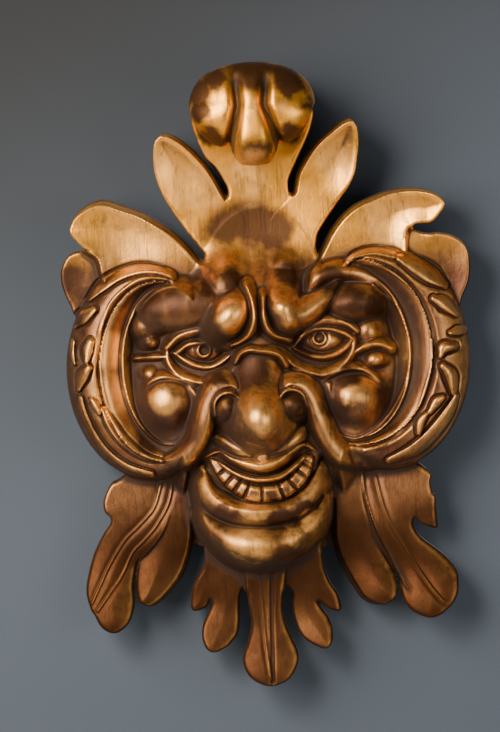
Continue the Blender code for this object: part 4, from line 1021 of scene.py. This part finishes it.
def cut_piece(name, cells, grid, materials):
    """A closed shell over some cells of the grid: the front, the back behind it, and a wall round them."""
    x, z, height, behind, normals, carving = grid
    number = np.arange(x.size).reshape(x.shape)
    corners = [number[:-1, :-1], number[:-1, 1:], number[1:, 1:], number[1:, :-1]]
    faces = np.stack([corner[cells] for corner in corners], 1)
    ends = np.concatenate([faces[:, [i, (i + 1) % 4]] for i in range(4)])
    key = ends[:, 0] * x.size + ends[:, 1]
    border = ends[~np.isin(key, ends[:, 1] * x.size + ends[:, 0])]
    walls = np.stack([border[:, 1], border[:, 0], border[:, 0] + x.size, border[:, 1] + x.size], 1)
    quads = np.concatenate([faces, faces[:, ::-1] + x.size, walls])
    used, index = np.unique(quads, return_inverse=True)
    index = index.reshape(quads.shape)
    front = np.stack([x * PART, -height * DEEP, z * PART], -1).reshape(-1, 3)
    rear = np.stack([x * PART, -behind * DEEP, z * PART], -1).reshape(-1, 3)
    piece = add_piece(name, np.concatenate([front, rear])[used], index, materials)
    mesh = piece.data
    of_front = np.zeros(len(quads), np.int32)
    of_front[len(faces) :] = 1
    mesh.polygons.foreach_set("material_index", of_front)
    for label, values in carving.items():
        both = np.concatenate([values.ravel(), np.zeros(x.size)])
        set_values(mesh, label, both[used])
    given = np.zeros((len(quads), 4, 3))
    given[: len(faces)] = normals.reshape(-1, 3)[faces]
    mesh.normals_split_custom_set(given.reshape(-1, 3))
    return piece


def carve(look):
    """All the pieces of the relief, cut from one grid so that their borders meet."""
    step = look.grid / PART
    x, z, cells = carving_grid(step)
    edge, height = relief(x, z)
    rounding = look.edge_round / DEEP
    near_edge = np.clip(1 - np.clip(edge, 0, None) * PART / look.edge_round, 0, 1)
    height = height - rounding * (1 - np.sqrt(1 - near_edge**2))
    behind = back(x, z, height, look)
    level = np.clip(height, 0, None)
    carving = {
        "fine": level - blurred(level, cells, round(FINE_WINDOW / step)),
        "broad": level - blurred(level, cells, round(BROAD_WINDOW / step)),
    }
    across = np.stack([np.gradient(field, axis=1) for field in (x, -height, z)], -1)
    upward = np.stack([np.gradient(field, axis=0) for field in (x, -height, z)], -1)
    normals = np.cross(across, upward)
    normals /= np.linalg.norm(normals, axis=-1, keepdims=True)
    grid = (x, z, height, behind, normals, carving)
    middle_x = (x[1:, 1:] + x[:-1, :-1]) / 2
    middle_z = (z[1:, 1:] + z[:-1, :-1]) / 2
    materials = (bronze_paint(look), bare_wood(look))
    for name, here in areas(middle_x, middle_z).items():
        cut_piece(name, cells & here, grid, materials)


def roll_scroll(look):
    """The scroll at full fineness, with its creases marked as hollows, where the paint lays dirt and painted
    shade.
    """
    points, quads = scroll_surface(SCROLL_ROUND, SCROLL_RINGS)
    piece = add_piece("crown_scroll", points, quads, (bronze_paint(look),))
    x = points[:, 0] / PART - SCROLL_CENTRE[0]
    level = (points[:, 2] / PART - SCROLL_CENTRE[1]) / SCROLL_RADIUS
    creases = (np.interp(level, SCROLL_LEVELS, line) for line in (LEFT_CREASE, RIGHT_CREASE))
    hollow = sum(bell(x - crease, CREASE_WIDTH) for crease in creases)
    hollow = hollow * ramp(*CREASE_TOP, level) * (points[:, 1] < -SCROLL_DEPTH * DEEP)
    set_values(piece.data, "fine", CREASE_FINE[0] - CREASE_FINE[1] * hollow)
    set_values(piece.data, "broad", CREASE_BROAD[0] - CREASE_BROAD[1] * hollow)


class Nodes:
    """A short way to add nodes to one tree and link them."""

    def __init__(self, tree):
        self.tree = tree

    def add(self, kind, inputs=(), **settings):
        node = self.tree.nodes.new(kind)
        for name, value in settings.items():
            setattr(node, name, value)
        for name, value in dict(inputs).items():
            if isinstance(value, bpy.types.NodeSocket):
                self.tree.links.new(value, node.inputs[name])
            else:
                node.inputs[name].default_value = value
        return node

    def noise(self, vector, scale, detail, roughness=0.6):
        made = {"Vector": vector, "Scale": scale, "Detail": detail, "Roughness": roughness}
        return self.add("ShaderNodeTexNoise", made).outputs["Fac"]

    def span(self, value, low, high, to_low=0.0, to_high=1.0):
        made = {"Value": value, "From Min": low, "From Max": high, "To Min": to_low, "To Max": to_high}
        return self.add("ShaderNodeMapRange", made, interpolation_type="SMOOTHSTEP").outputs["Result"]

    def maths(self, operation, first, second):
        node = self.add("ShaderNodeMath", {0: first, 1: second}, operation=operation)
        return node.outputs[0]

    def times(self, first, second):
        return self.maths("MULTIPLY", first, second)

    def plus(self, first, second):
        return self.maths("ADD", first, second)

    def most(self, first, second):
        return self.maths("MAXIMUM", first, second)

    def wire(self, shader, values):
        for label, value in values.items():
            self.tree.links.new(value, shader.inputs[label])

    def blend(self, share, first, second):
        node = self.add("ShaderNodeMix", data_type="RGBA")
        for socket, value in ((node.inputs[0], share), (node.inputs[6], first), (node.inputs[7], second)):
            if isinstance(value, bpy.types.NodeSocket):
                self.tree.links.new(value, socket)
            else:
                socket.default_value = value if socket is node.inputs[0] else (*value, 1)
        return node.outputs[2]


def new_material(name):
    """A material with its Nodes and its shader."""
    material = bpy.data.materials.new(name)
    material.use_nodes = True
    nodes = Nodes(material.node_tree)
    return material, nodes, nodes.tree.nodes["Principled BSDF"]


def new_group(name, inputs, outputs):
    """A node group with named inputs and outputs, and its Nodes, input node and output node."""
    group = bpy.data.node_groups.new(name, "ShaderNodeTree")
    for label, kind, value in inputs:
        socket = group.interface.new_socket(label, in_out="INPUT", socket_type=kind)
        socket.default_value = value
    for label, kind in outputs:
        group.interface.new_socket(label, in_out="OUTPUT", socket_type=kind)
    tree = Nodes(group)
    return group, tree, tree.add("NodeGroupInput"), tree.add("NodeGroupOutput")


def stretched(nodes, vector, scale):
    mapping = nodes.add("ShaderNodeMapping", {"Vector": vector, "Scale": scale})
    return mapping.outputs["Vector"]


def grain_group():
    """Upright wood grain and paint drag: noise drawn out along Z, its height, and a mask of pits."""
    found = bpy.data.node_groups.get("upright_grain")
    if found:
        return found
    outputs = (("Height", "NodeSocketFloat"), ("Streaks", "NodeSocketFloat"), ("Pits", "NodeSocketFloat"))
    inputs = (("Fineness", "NodeSocketFloat", 1.0),)
    group, nodes, given, result = new_group("upright_grain", inputs, outputs)
    place_here = nodes.add("ShaderNodeTexCoord").outputs["Object"]
    scaled = nodes.add("ShaderNodeVectorMath", {0: place_here}, operation="SCALE")
    group.links.new(given.outputs["Fineness"], scaled.inputs["Scale"])
    lines = nodes.noise(stretched(nodes, scaled.outputs[0], DRAG_LINES), 1, 5, 0.65)
    wide = nodes.noise(stretched(nodes, scaled.outputs[0], DRAG_BANDS), 1, 4, 0.6)
    mottle = nodes.noise(scaled.outputs[0], MOTTLE, 5, 0.7)
    streaks = nodes.plus(nodes.times(lines, 0.5), nodes.times(wide, 0.5))
    height = nodes.plus(streaks, nodes.times(mottle, 0.55))
    dots = nodes.add("ShaderNodeTexVoronoi", {"Vector": scaled.outputs[0], "Scale": PIT_SCALE})
    pits = nodes.span(dots.outputs["Distance"], 0.16, 0.07)
    chance = nodes.span(nodes.noise(scaled.outputs[0], PIT_AREAS, 3), 0.53, 0.62)
    pits = nodes.times(pits, chance)
    nodes.wire(result, {"Height": height, "Streaks": streaks, "Pits": pits})
    return group


def near_places(nodes, spot, ragged, places, solid):
    """1 within the solid share of each place's radius and 0 outside the radius, with ragged borders."""
    mask = 0.0
    flat = nodes.add("ShaderNodeVectorMath", {0: spot, 1: (1, 0, 1)}, operation="MULTIPLY").outputs[0]
    for px, py, radius in places:
        (x, z), = place(((px, py),))
        away = nodes.add("ShaderNodeVectorMath", {0: flat, 1: (x * PART, 0, z * PART)}, operation="DISTANCE")
        away = nodes.plus(away.outputs["Value"], ragged)
        mask = nodes.most(mask, nodes.span(away, radius * PART, solid * radius * PART))
    return mask


def bronze_paint(look):
    """Bronze paint on carved wood: dirt and painted shade in the hollows, rubbed bright on the ridges, patina
    and rubbed gold in places with painted shade and highlights, gilt high up and redder low down, partly as
    painted light.
    """
    found = bpy.data.materials.get("bronze_paint")
    if found:
        return found
    material, nodes, shader = new_material("bronze_paint")
    spot = nodes.add("ShaderNodeTexCoord").outputs["Object"]
    fine = nodes.add("ShaderNodeAttribute", attribute_name="fine").outputs["Fac"]
    broad = nodes.add("ShaderNodeAttribute", attribute_name="broad").outputs["Fac"]
    grain = nodes.add("ShaderNodeGroup", node_tree=grain_group())
    streaks, pits = grain.outputs["Streaks"], grain.outputs["Pits"]
    place_here = nodes.add("ShaderNodeSeparateXYZ", {0: spot})
    up = place_here.outputs["Z"]
    aside = nodes.span(nodes.maths("ABSOLUTE", place_here.outputs["X"], 0.0), *ASIDE_LEVELS, 0.8, 0.95)
    patches = nodes.noise(spot, PATCHES, 5, 0.62)
    small = nodes.noise(spot, SPECKS, 5, 0.7)
    # Painted light: the crown's gilt brighter and the low leaves darker, partly for how the light falls on
    # them
    crown = nodes.span(up, *CROWN_LEVELS)
    low = nodes.span(up, *LOW_LEVELS)
    paint = nodes.blend(nodes.span(patches, 0.36, 0.62), look.copper, look.bronze)
    gilt = nodes.times(crown, nodes.span(patches, 0.25, 0.5, 0.7, 1.0))
    paint = nodes.blend(gilt, paint, look.gold)
    paint = nodes.blend(nodes.times(low, aside), paint, look.red_brown_and_shade)
    rubbed = nodes.plus(nodes.span(fine, 0.15, 1.3), nodes.span(broad, 1.5, 7, 0, 0.8))
    rubbed = nodes.times(rubbed, nodes.span(small, 0.3, 0.6, 0.3, 1.0))
    rubbed = nodes.times(rubbed, nodes.span(low, 0, 1, 1, 0.3))
    rubbed = nodes.maths("MINIMUM", rubbed, 1.0)
    paint = nodes.blend(nodes.times(rubbed, RUBBED_RIDGES), paint, look.worn_gold_and_highlight)
    ragged = nodes.span(patches, 0.3, 0.7, -RAGGED, RAGGED)
    # Patina with painted shade: brown on the listed places, darkening tops, undersides and recesses where
    # shade falls
    brown = near_places(nodes, spot, ragged, PATINA_AND_SHADE, PATINA_AND_SHADE_SOLID)
    paint = nodes.blend(nodes.times(brown, PATINA_AND_SHADE_WEIGHT), paint, look.patina_and_shade)
    # Rubbed gold with painted highlights on the listed places
    rubbed_and_highlit = near_places(nodes, spot, ragged, RUBBED_AND_HIGHLIGHTS, RUBBED_AND_HIGHLIGHT_SOLID)
    paint = nodes.blend(nodes.times(rubbed_and_highlit, RUBBED_AND_HIGHLIGHT_WEIGHT), paint, look.worn_gold_and_highlight)
    # Dirt and painted shade: darker in the fine and broad hollows and in the pits
    grime_and_shade = nodes.plus(nodes.span(fine, -0.1, -1.0), nodes.span(broad, -0.5, -5))
    grime_and_shade = nodes.times(grime_and_shade, nodes.span(small, 0.25, 0.55, 0.6, 1.0))
    grime_and_shade = nodes.maths("MINIMUM", nodes.plus(grime_and_shade, nodes.times(pits, 0.1)), 1.0)
    paint = nodes.blend(nodes.times(nodes.span(streaks, 0.5, 0.36), STREAK_WEIGHT), paint, look.grime_and_shade)
    paint = nodes.blend(nodes.times(grime_and_shade, GRIME_AND_SHADE_WEIGHT), paint, look.grime_and_shade)
    rough = nodes.span(small, 0.3, 0.7, look.gloss - 0.03, look.gloss + 0.07)
    rough = nodes.plus(rough, nodes.times(nodes.most(low, brown), 0.12))
    rough = nodes.plus(rough, nodes.times(grime_and_shade, 0.25))
    metal = nodes.span(nodes.most(grime_and_shade, nodes.times(brown, 0.4)), 0, 1, look.metal, 0.5)
    height = grain.outputs["Height"]
    bump = nodes.add("ShaderNodeBump", {"Height": height, "Strength": 0.4, "Distance": 0.0005})
    dents = nodes.maths("SUBTRACT", small, nodes.times(pits, 0.25))
    bump = nodes.add(
        "ShaderNodeBump",
        {"Height": dents, "Strength": 0.22, "Distance": 0.0008, "Normal": bump.outputs["Normal"]},
    )
    # The coat only where neither patina, dirt nor painted shade darkens the paint
    undarkened = nodes.span(nodes.most(grime_and_shade, brown), 0, 1, 1, 0)
    coat = nodes.times(nodes.span(low, 0, 1, 0.12, 0.0), undarkened)
    shader.inputs["Coat Roughness"].default_value = COAT_ROUGH
    wired = {"Base Color": paint, "Roughness": rough, "Metallic": metal, "Normal": bump.outputs["Normal"]}
    nodes.wire(shader, wired)
    nodes.wire(shader, {"Coat Weight": coat})
    return material


def bare_wood(look):
    """The sides and the back: the paint runs out over dark old wood with an upright grain."""
    found = bpy.data.materials.get("bare_wood")
    if found:
        return found
    material, nodes, shader = new_material("bare_wood")
    spot = nodes.add("ShaderNodeTexCoord").outputs["Object"]
    grain = nodes.add("ShaderNodeGroup", node_tree=grain_group())
    depth = nodes.add("ShaderNodeSeparateXYZ", {0: spot}).outputs["Y"]
    ragged = nodes.plus(depth, nodes.times(nodes.noise(spot, 90, 4), 0.02))
    painted = nodes.span(ragged, 0.004, -0.012)
    wood = nodes.blend(nodes.span(grain.outputs["Streaks"], 0.38, 0.6), look.dark_wood, look.pale_wood)
    paint = nodes.blend(nodes.span(nodes.noise(spot, 60, 4), 0.35, 0.65), look.grime_and_shade, look.copper)
    colour = nodes.blend(painted, wood, paint)
    rough = nodes.span(painted, 0, 1, 0.75, 0.5)
    metal = nodes.span(painted, 0, 1, 0.0, 0.5)
    height = grain.outputs["Height"]
    bump = nodes.add("ShaderNodeBump", {"Height": height, "Strength": 0.6, "Distance": 0.0012})
    wired = {"Base Color": colour, "Roughness": rough, "Metallic": metal, "Normal": bump.outputs["Normal"]}
    nodes.wire(shader, wired)
    return material


def plain_material(name, colour, roughness, see_through_behind=False):
    material, nodes, shader = new_material(name)
    shader.inputs["Base Color"].default_value = (*colour, 1)
    shader.inputs["Roughness"].default_value = roughness
    if see_through_behind:
        behind = nodes.add("ShaderNodeNewGeometry").outputs["Backfacing"]
        clear = nodes.add("ShaderNodeBsdfTransparent").outputs[0]
        mixed = nodes.add("ShaderNodeMixShader", {0: behind, 1: shader.outputs[0], 2: clear})
        nodes.wire(nodes.tree.nodes["Material Output"], {"Surface": mixed.outputs[0]})
    return material


def stage_sheet(name, corners, material):
    mesh = bpy.data.meshes.new(name)
    mesh.from_pydata(corners, [], [(0, 1, 2, 3)])
    mesh.materials.append(material)
    thing = bpy.data.objects.new(name, mesh)
    bpy.context.scene.collection.objects.link(thing)
    return thing


def aim(thing, place_at, target, roll=0.0):
    """Stands a thing at a place with its -Z axis towards the target, turned by roll about that axis."""
    heading = Vector(target) - Vector(place_at)
    turn = heading.to_track_quat("-Z", "Y").to_matrix().to_4x4()
    thing.matrix_world = Matrix.Translation(place_at) @ turn @ Matrix.Rotation(roll, 4, "Z")


def add_light(name, place_at, target, size, power, colour):
    lamp = bpy.data.lights.new(name, "AREA")
    lamp.shape = "DISK"
    lamp.size = size
    lamp.energy = power
    lamp.color = colour
    thing = bpy.data.objects.new(name, lamp)
    bpy.context.scene.collection.objects.link(thing)
    aim(thing, place_at, target)
    return thing


def set_stage(look):
    """A grey wall just behind the mask, darker at its upper left as painted shade, a pale floor far below,
    soft lights and the camera.
    """
    wall = plain_material("grey_wall", look.wall, WALL_ROUGH, see_through_behind=True)
    nodes = Nodes(wall.node_tree)
    spot = nodes.add("ShaderNodeTexCoord").outputs["Object"]
    spot = nodes.add("ShaderNodeSeparateXYZ", {0: spot})
    # Painted shade: the wall darker towards the upper left, where less light falls
    upward = nodes.maths("SUBTRACT", spot.outputs["Z"], nodes.times(spot.outputs["X"], 0.5))
    shade = nodes.blend(nodes.span(upward, *WALL_SHADE), look.wall, look.wall_painted_shade)
    nodes.wire(wall.node_tree.nodes["Principled BSDF"], {"Base Color": shade})
    square = ((-WIDE, -WIDE), (WIDE, -WIDE), (WIDE, WIDE), (-WIDE, WIDE))
    corners = [(x, WALL_GAP, max(z, FLOOR_AT)) for x, z in square]  # the wall stands on the floor
    stage_sheet("wall", corners, wall).visible_shadow = False
    corners = [(x, y, FLOOR_AT) for x, y in square]
    stage_sheet("floor", corners, plain_material("pale_floor", look.floor, FLOOR_ROUGH))
    for name, (power, stand, size, tint) in LIGHTS.items():
        add_light(name, stand, LIT_SPOT, size, getattr(look, power), tint)
    world = bpy.data.worlds.new("dim_room")
    world.use_nodes = True
    world.node_tree.nodes["Background"].inputs["Color"].default_value = ROOM_COLOUR
    world.node_tree.nodes["Background"].inputs["Strength"].default_value = look.room_light
    bpy.context.scene.world = world
    lens = bpy.data.cameras.new("camera")
    lens.lens = look.lens_per_metre * look.camera_distance
    lens.sensor_width = 36
    lens.clip_start = 0.01
    camera = bpy.data.objects.new("camera", lens)
    bpy.context.scene.collection.objects.link(camera)
    rise = math.radians(look.camera_rise)
    distance = look.camera_distance
    x, y, z = CAMERA_TARGET
    stand = (x, y - distance * math.cos(rise), z + distance * math.sin(rise))
    aim(camera, stand, CAMERA_TARGET, -PICTURE_TURN)
    bpy.context.scene.camera = camera


def length(name, description, default):
    return bpy.props.FloatProperty(
        name=name, description=description, default=default, unit="LENGTH", precision=4
    )


def colour(name, description, default):
    return bpy.props.FloatVectorProperty(
        name=name, description=description, default=default, subtype="COLOR", size=3, min=0, max=1
    )


def plain(name, description, default):
    return bpy.props.FloatProperty(name=name, description=description, default=default)


class MaskLook(bpy.types.PropertyGroup):
    """Sizes and colours of the mask's looks."""

    grid: length("Carving grid", "Spacing of the carved surface's points", 0.00087)
    edge_round: length("Edge rounding", "Rounding along the front edges", 0.0028)
    leaf_thickness: length("Leaf thickness", "A leaf's tip, front to back", 0.013)
    lift_start: length("Lift start", "How far outside the flat back the leaves leave the wall", 0.004)
    lift_slope: plain("Lift slope", "How fast the leaves leave the wall", 0.55)
    copper: colour("Copper", "Darker patches of the paint", (0.11, 0.042, 0.020))
    bronze: colour("Bronze", "Lighter patches of the paint", (0.25, 0.108, 0.040))
    # Gold, brightened partly as painted light on the crown
    gold: colour("Gold", "Paint on the crown", (0.88, 0.38, 0.036))
    # Patina, also the colour of the painted shade on the listed places
    patina_and_shade: colour("Patina", "Old brown patches", (0.050, 0.017, 0.006))
    # Red brown, darkened partly as painted shade on the low leaves
    red_brown_and_shade: colour("Red brown", "Paint on the lower leaves", (0.046, 0.014, 0.003))
    # Worn gold, also the colour of the painted highlights
    worn_gold_and_highlight: colour("Worn gold", "Rubbed ridges", (0.97, 0.47, 0.12))
    # Dirt and painted shade in the hollows
    grime_and_shade: colour("Grime", "Dirt in the hollows", (0.030, 0.012, 0.005))
    dark_wood: colour("Dark wood", "Back, dark grain", (0.06, 0.032, 0.016))
    pale_wood: colour("Pale wood", "Back, pale grain", (0.17, 0.09, 0.045))
    wall: colour("Wall", "Wall behind the mask", (0.050, 0.066, 0.092))
    # Painted shade on the wall's upper left
    wall_painted_shade: colour("Wall, upper left", "Darker part of the wall", (0.004, 0.005, 0.007))
    floor: colour("Floor", "Pale floor", (0.7, 0.7, 0.68))
    gloss: plain("Roughness", "Roughness of the paint", 0.36)
    metal: plain("Metallic", "How metallic the paint is", 0.9)
    key_power: plain("Key light", "Power of the soft light from the left, in watts", 38)
    fill_power: plain("Right fill", "Power of the weak light from the right, in watts", 7.5)
    front_power: plain("Front fill", "Power of the light from the front, in watts", 15)
    rear_power: plain("Rear fill", "Power of the light on the back, in watts", 8)
    room_light: plain("Room light", "Strength of the light from all round", 0.135)
    camera_rise: plain("Camera rise", "Camera above the level of the mask's middle, in degrees", 2)
    lens_per_metre: plain("Lens", "Focal length in millimetres, for each metre of the distance", 64.0)
    camera_distance: length("Camera distance", "From the camera to the face", 3.2)


class MASK_OT_carving(bpy.types.Operator):
    """Carve the crown, ears, face, leaves and beard as fine closed pieces"""

    bl_idname = "mask.carving"
    bl_label = "Carve the relief"

    def execute(self, context):
        carve(context.scene.mask_look)
        return {"FINISHED"}


class MASK_OT_scroll(bpy.types.Operator):
    """Roll the scroll at the top of the crown"""

    bl_idname = "mask.scroll"
    bl_label = "Roll the scroll"

    def execute(self, context):
        roll_scroll(context.scene.mask_look)
        return {"FINISHED"}


class MASK_OT_stage(bpy.types.Operator):
    """Set up the wall, floor, lights and camera"""

    bl_idname = "mask.stage"
    bl_label = "Set the stage"

    def execute(self, context):
        set_stage(context.scene.mask_look)
        return {"FINISHED"}


class MASK_PT_panel(bpy.types.Panel):
    """Steps and settings of the mask's looks"""

    bl_label = "Carved satyr mask"
    bl_space_type = "VIEW_3D"
    bl_region_type = "UI"
    bl_category = "Mask"

    def draw(self, context):
        for step in STEPS:
            self.layout.operator(step.bl_idname)
        for name in MaskLook.__annotations__:
            self.layout.prop(context.scene.mask_look, name)


STEPS = (MASK_OT_carving, MASK_OT_scroll, MASK_OT_stage)
CLASSES = (MaskLook, *STEPS, MASK_PT_panel)


def register():
    for made in CLASSES:
        bpy.utils.register_class(made)
    bpy.types.Scene.mask_look = bpy.props.PointerProperty(type=MaskLook)


def unregister():
    del bpy.types.Scene.mask_look
    for made in reversed(CLASSES):
        bpy.utils.unregister_class(made)


def main():
    register()
    bpy.ops.mask.stage()
    bpy.ops.mask.carving()
    bpy.ops.mask.scroll()


if __name__ == "__main__":
    main()
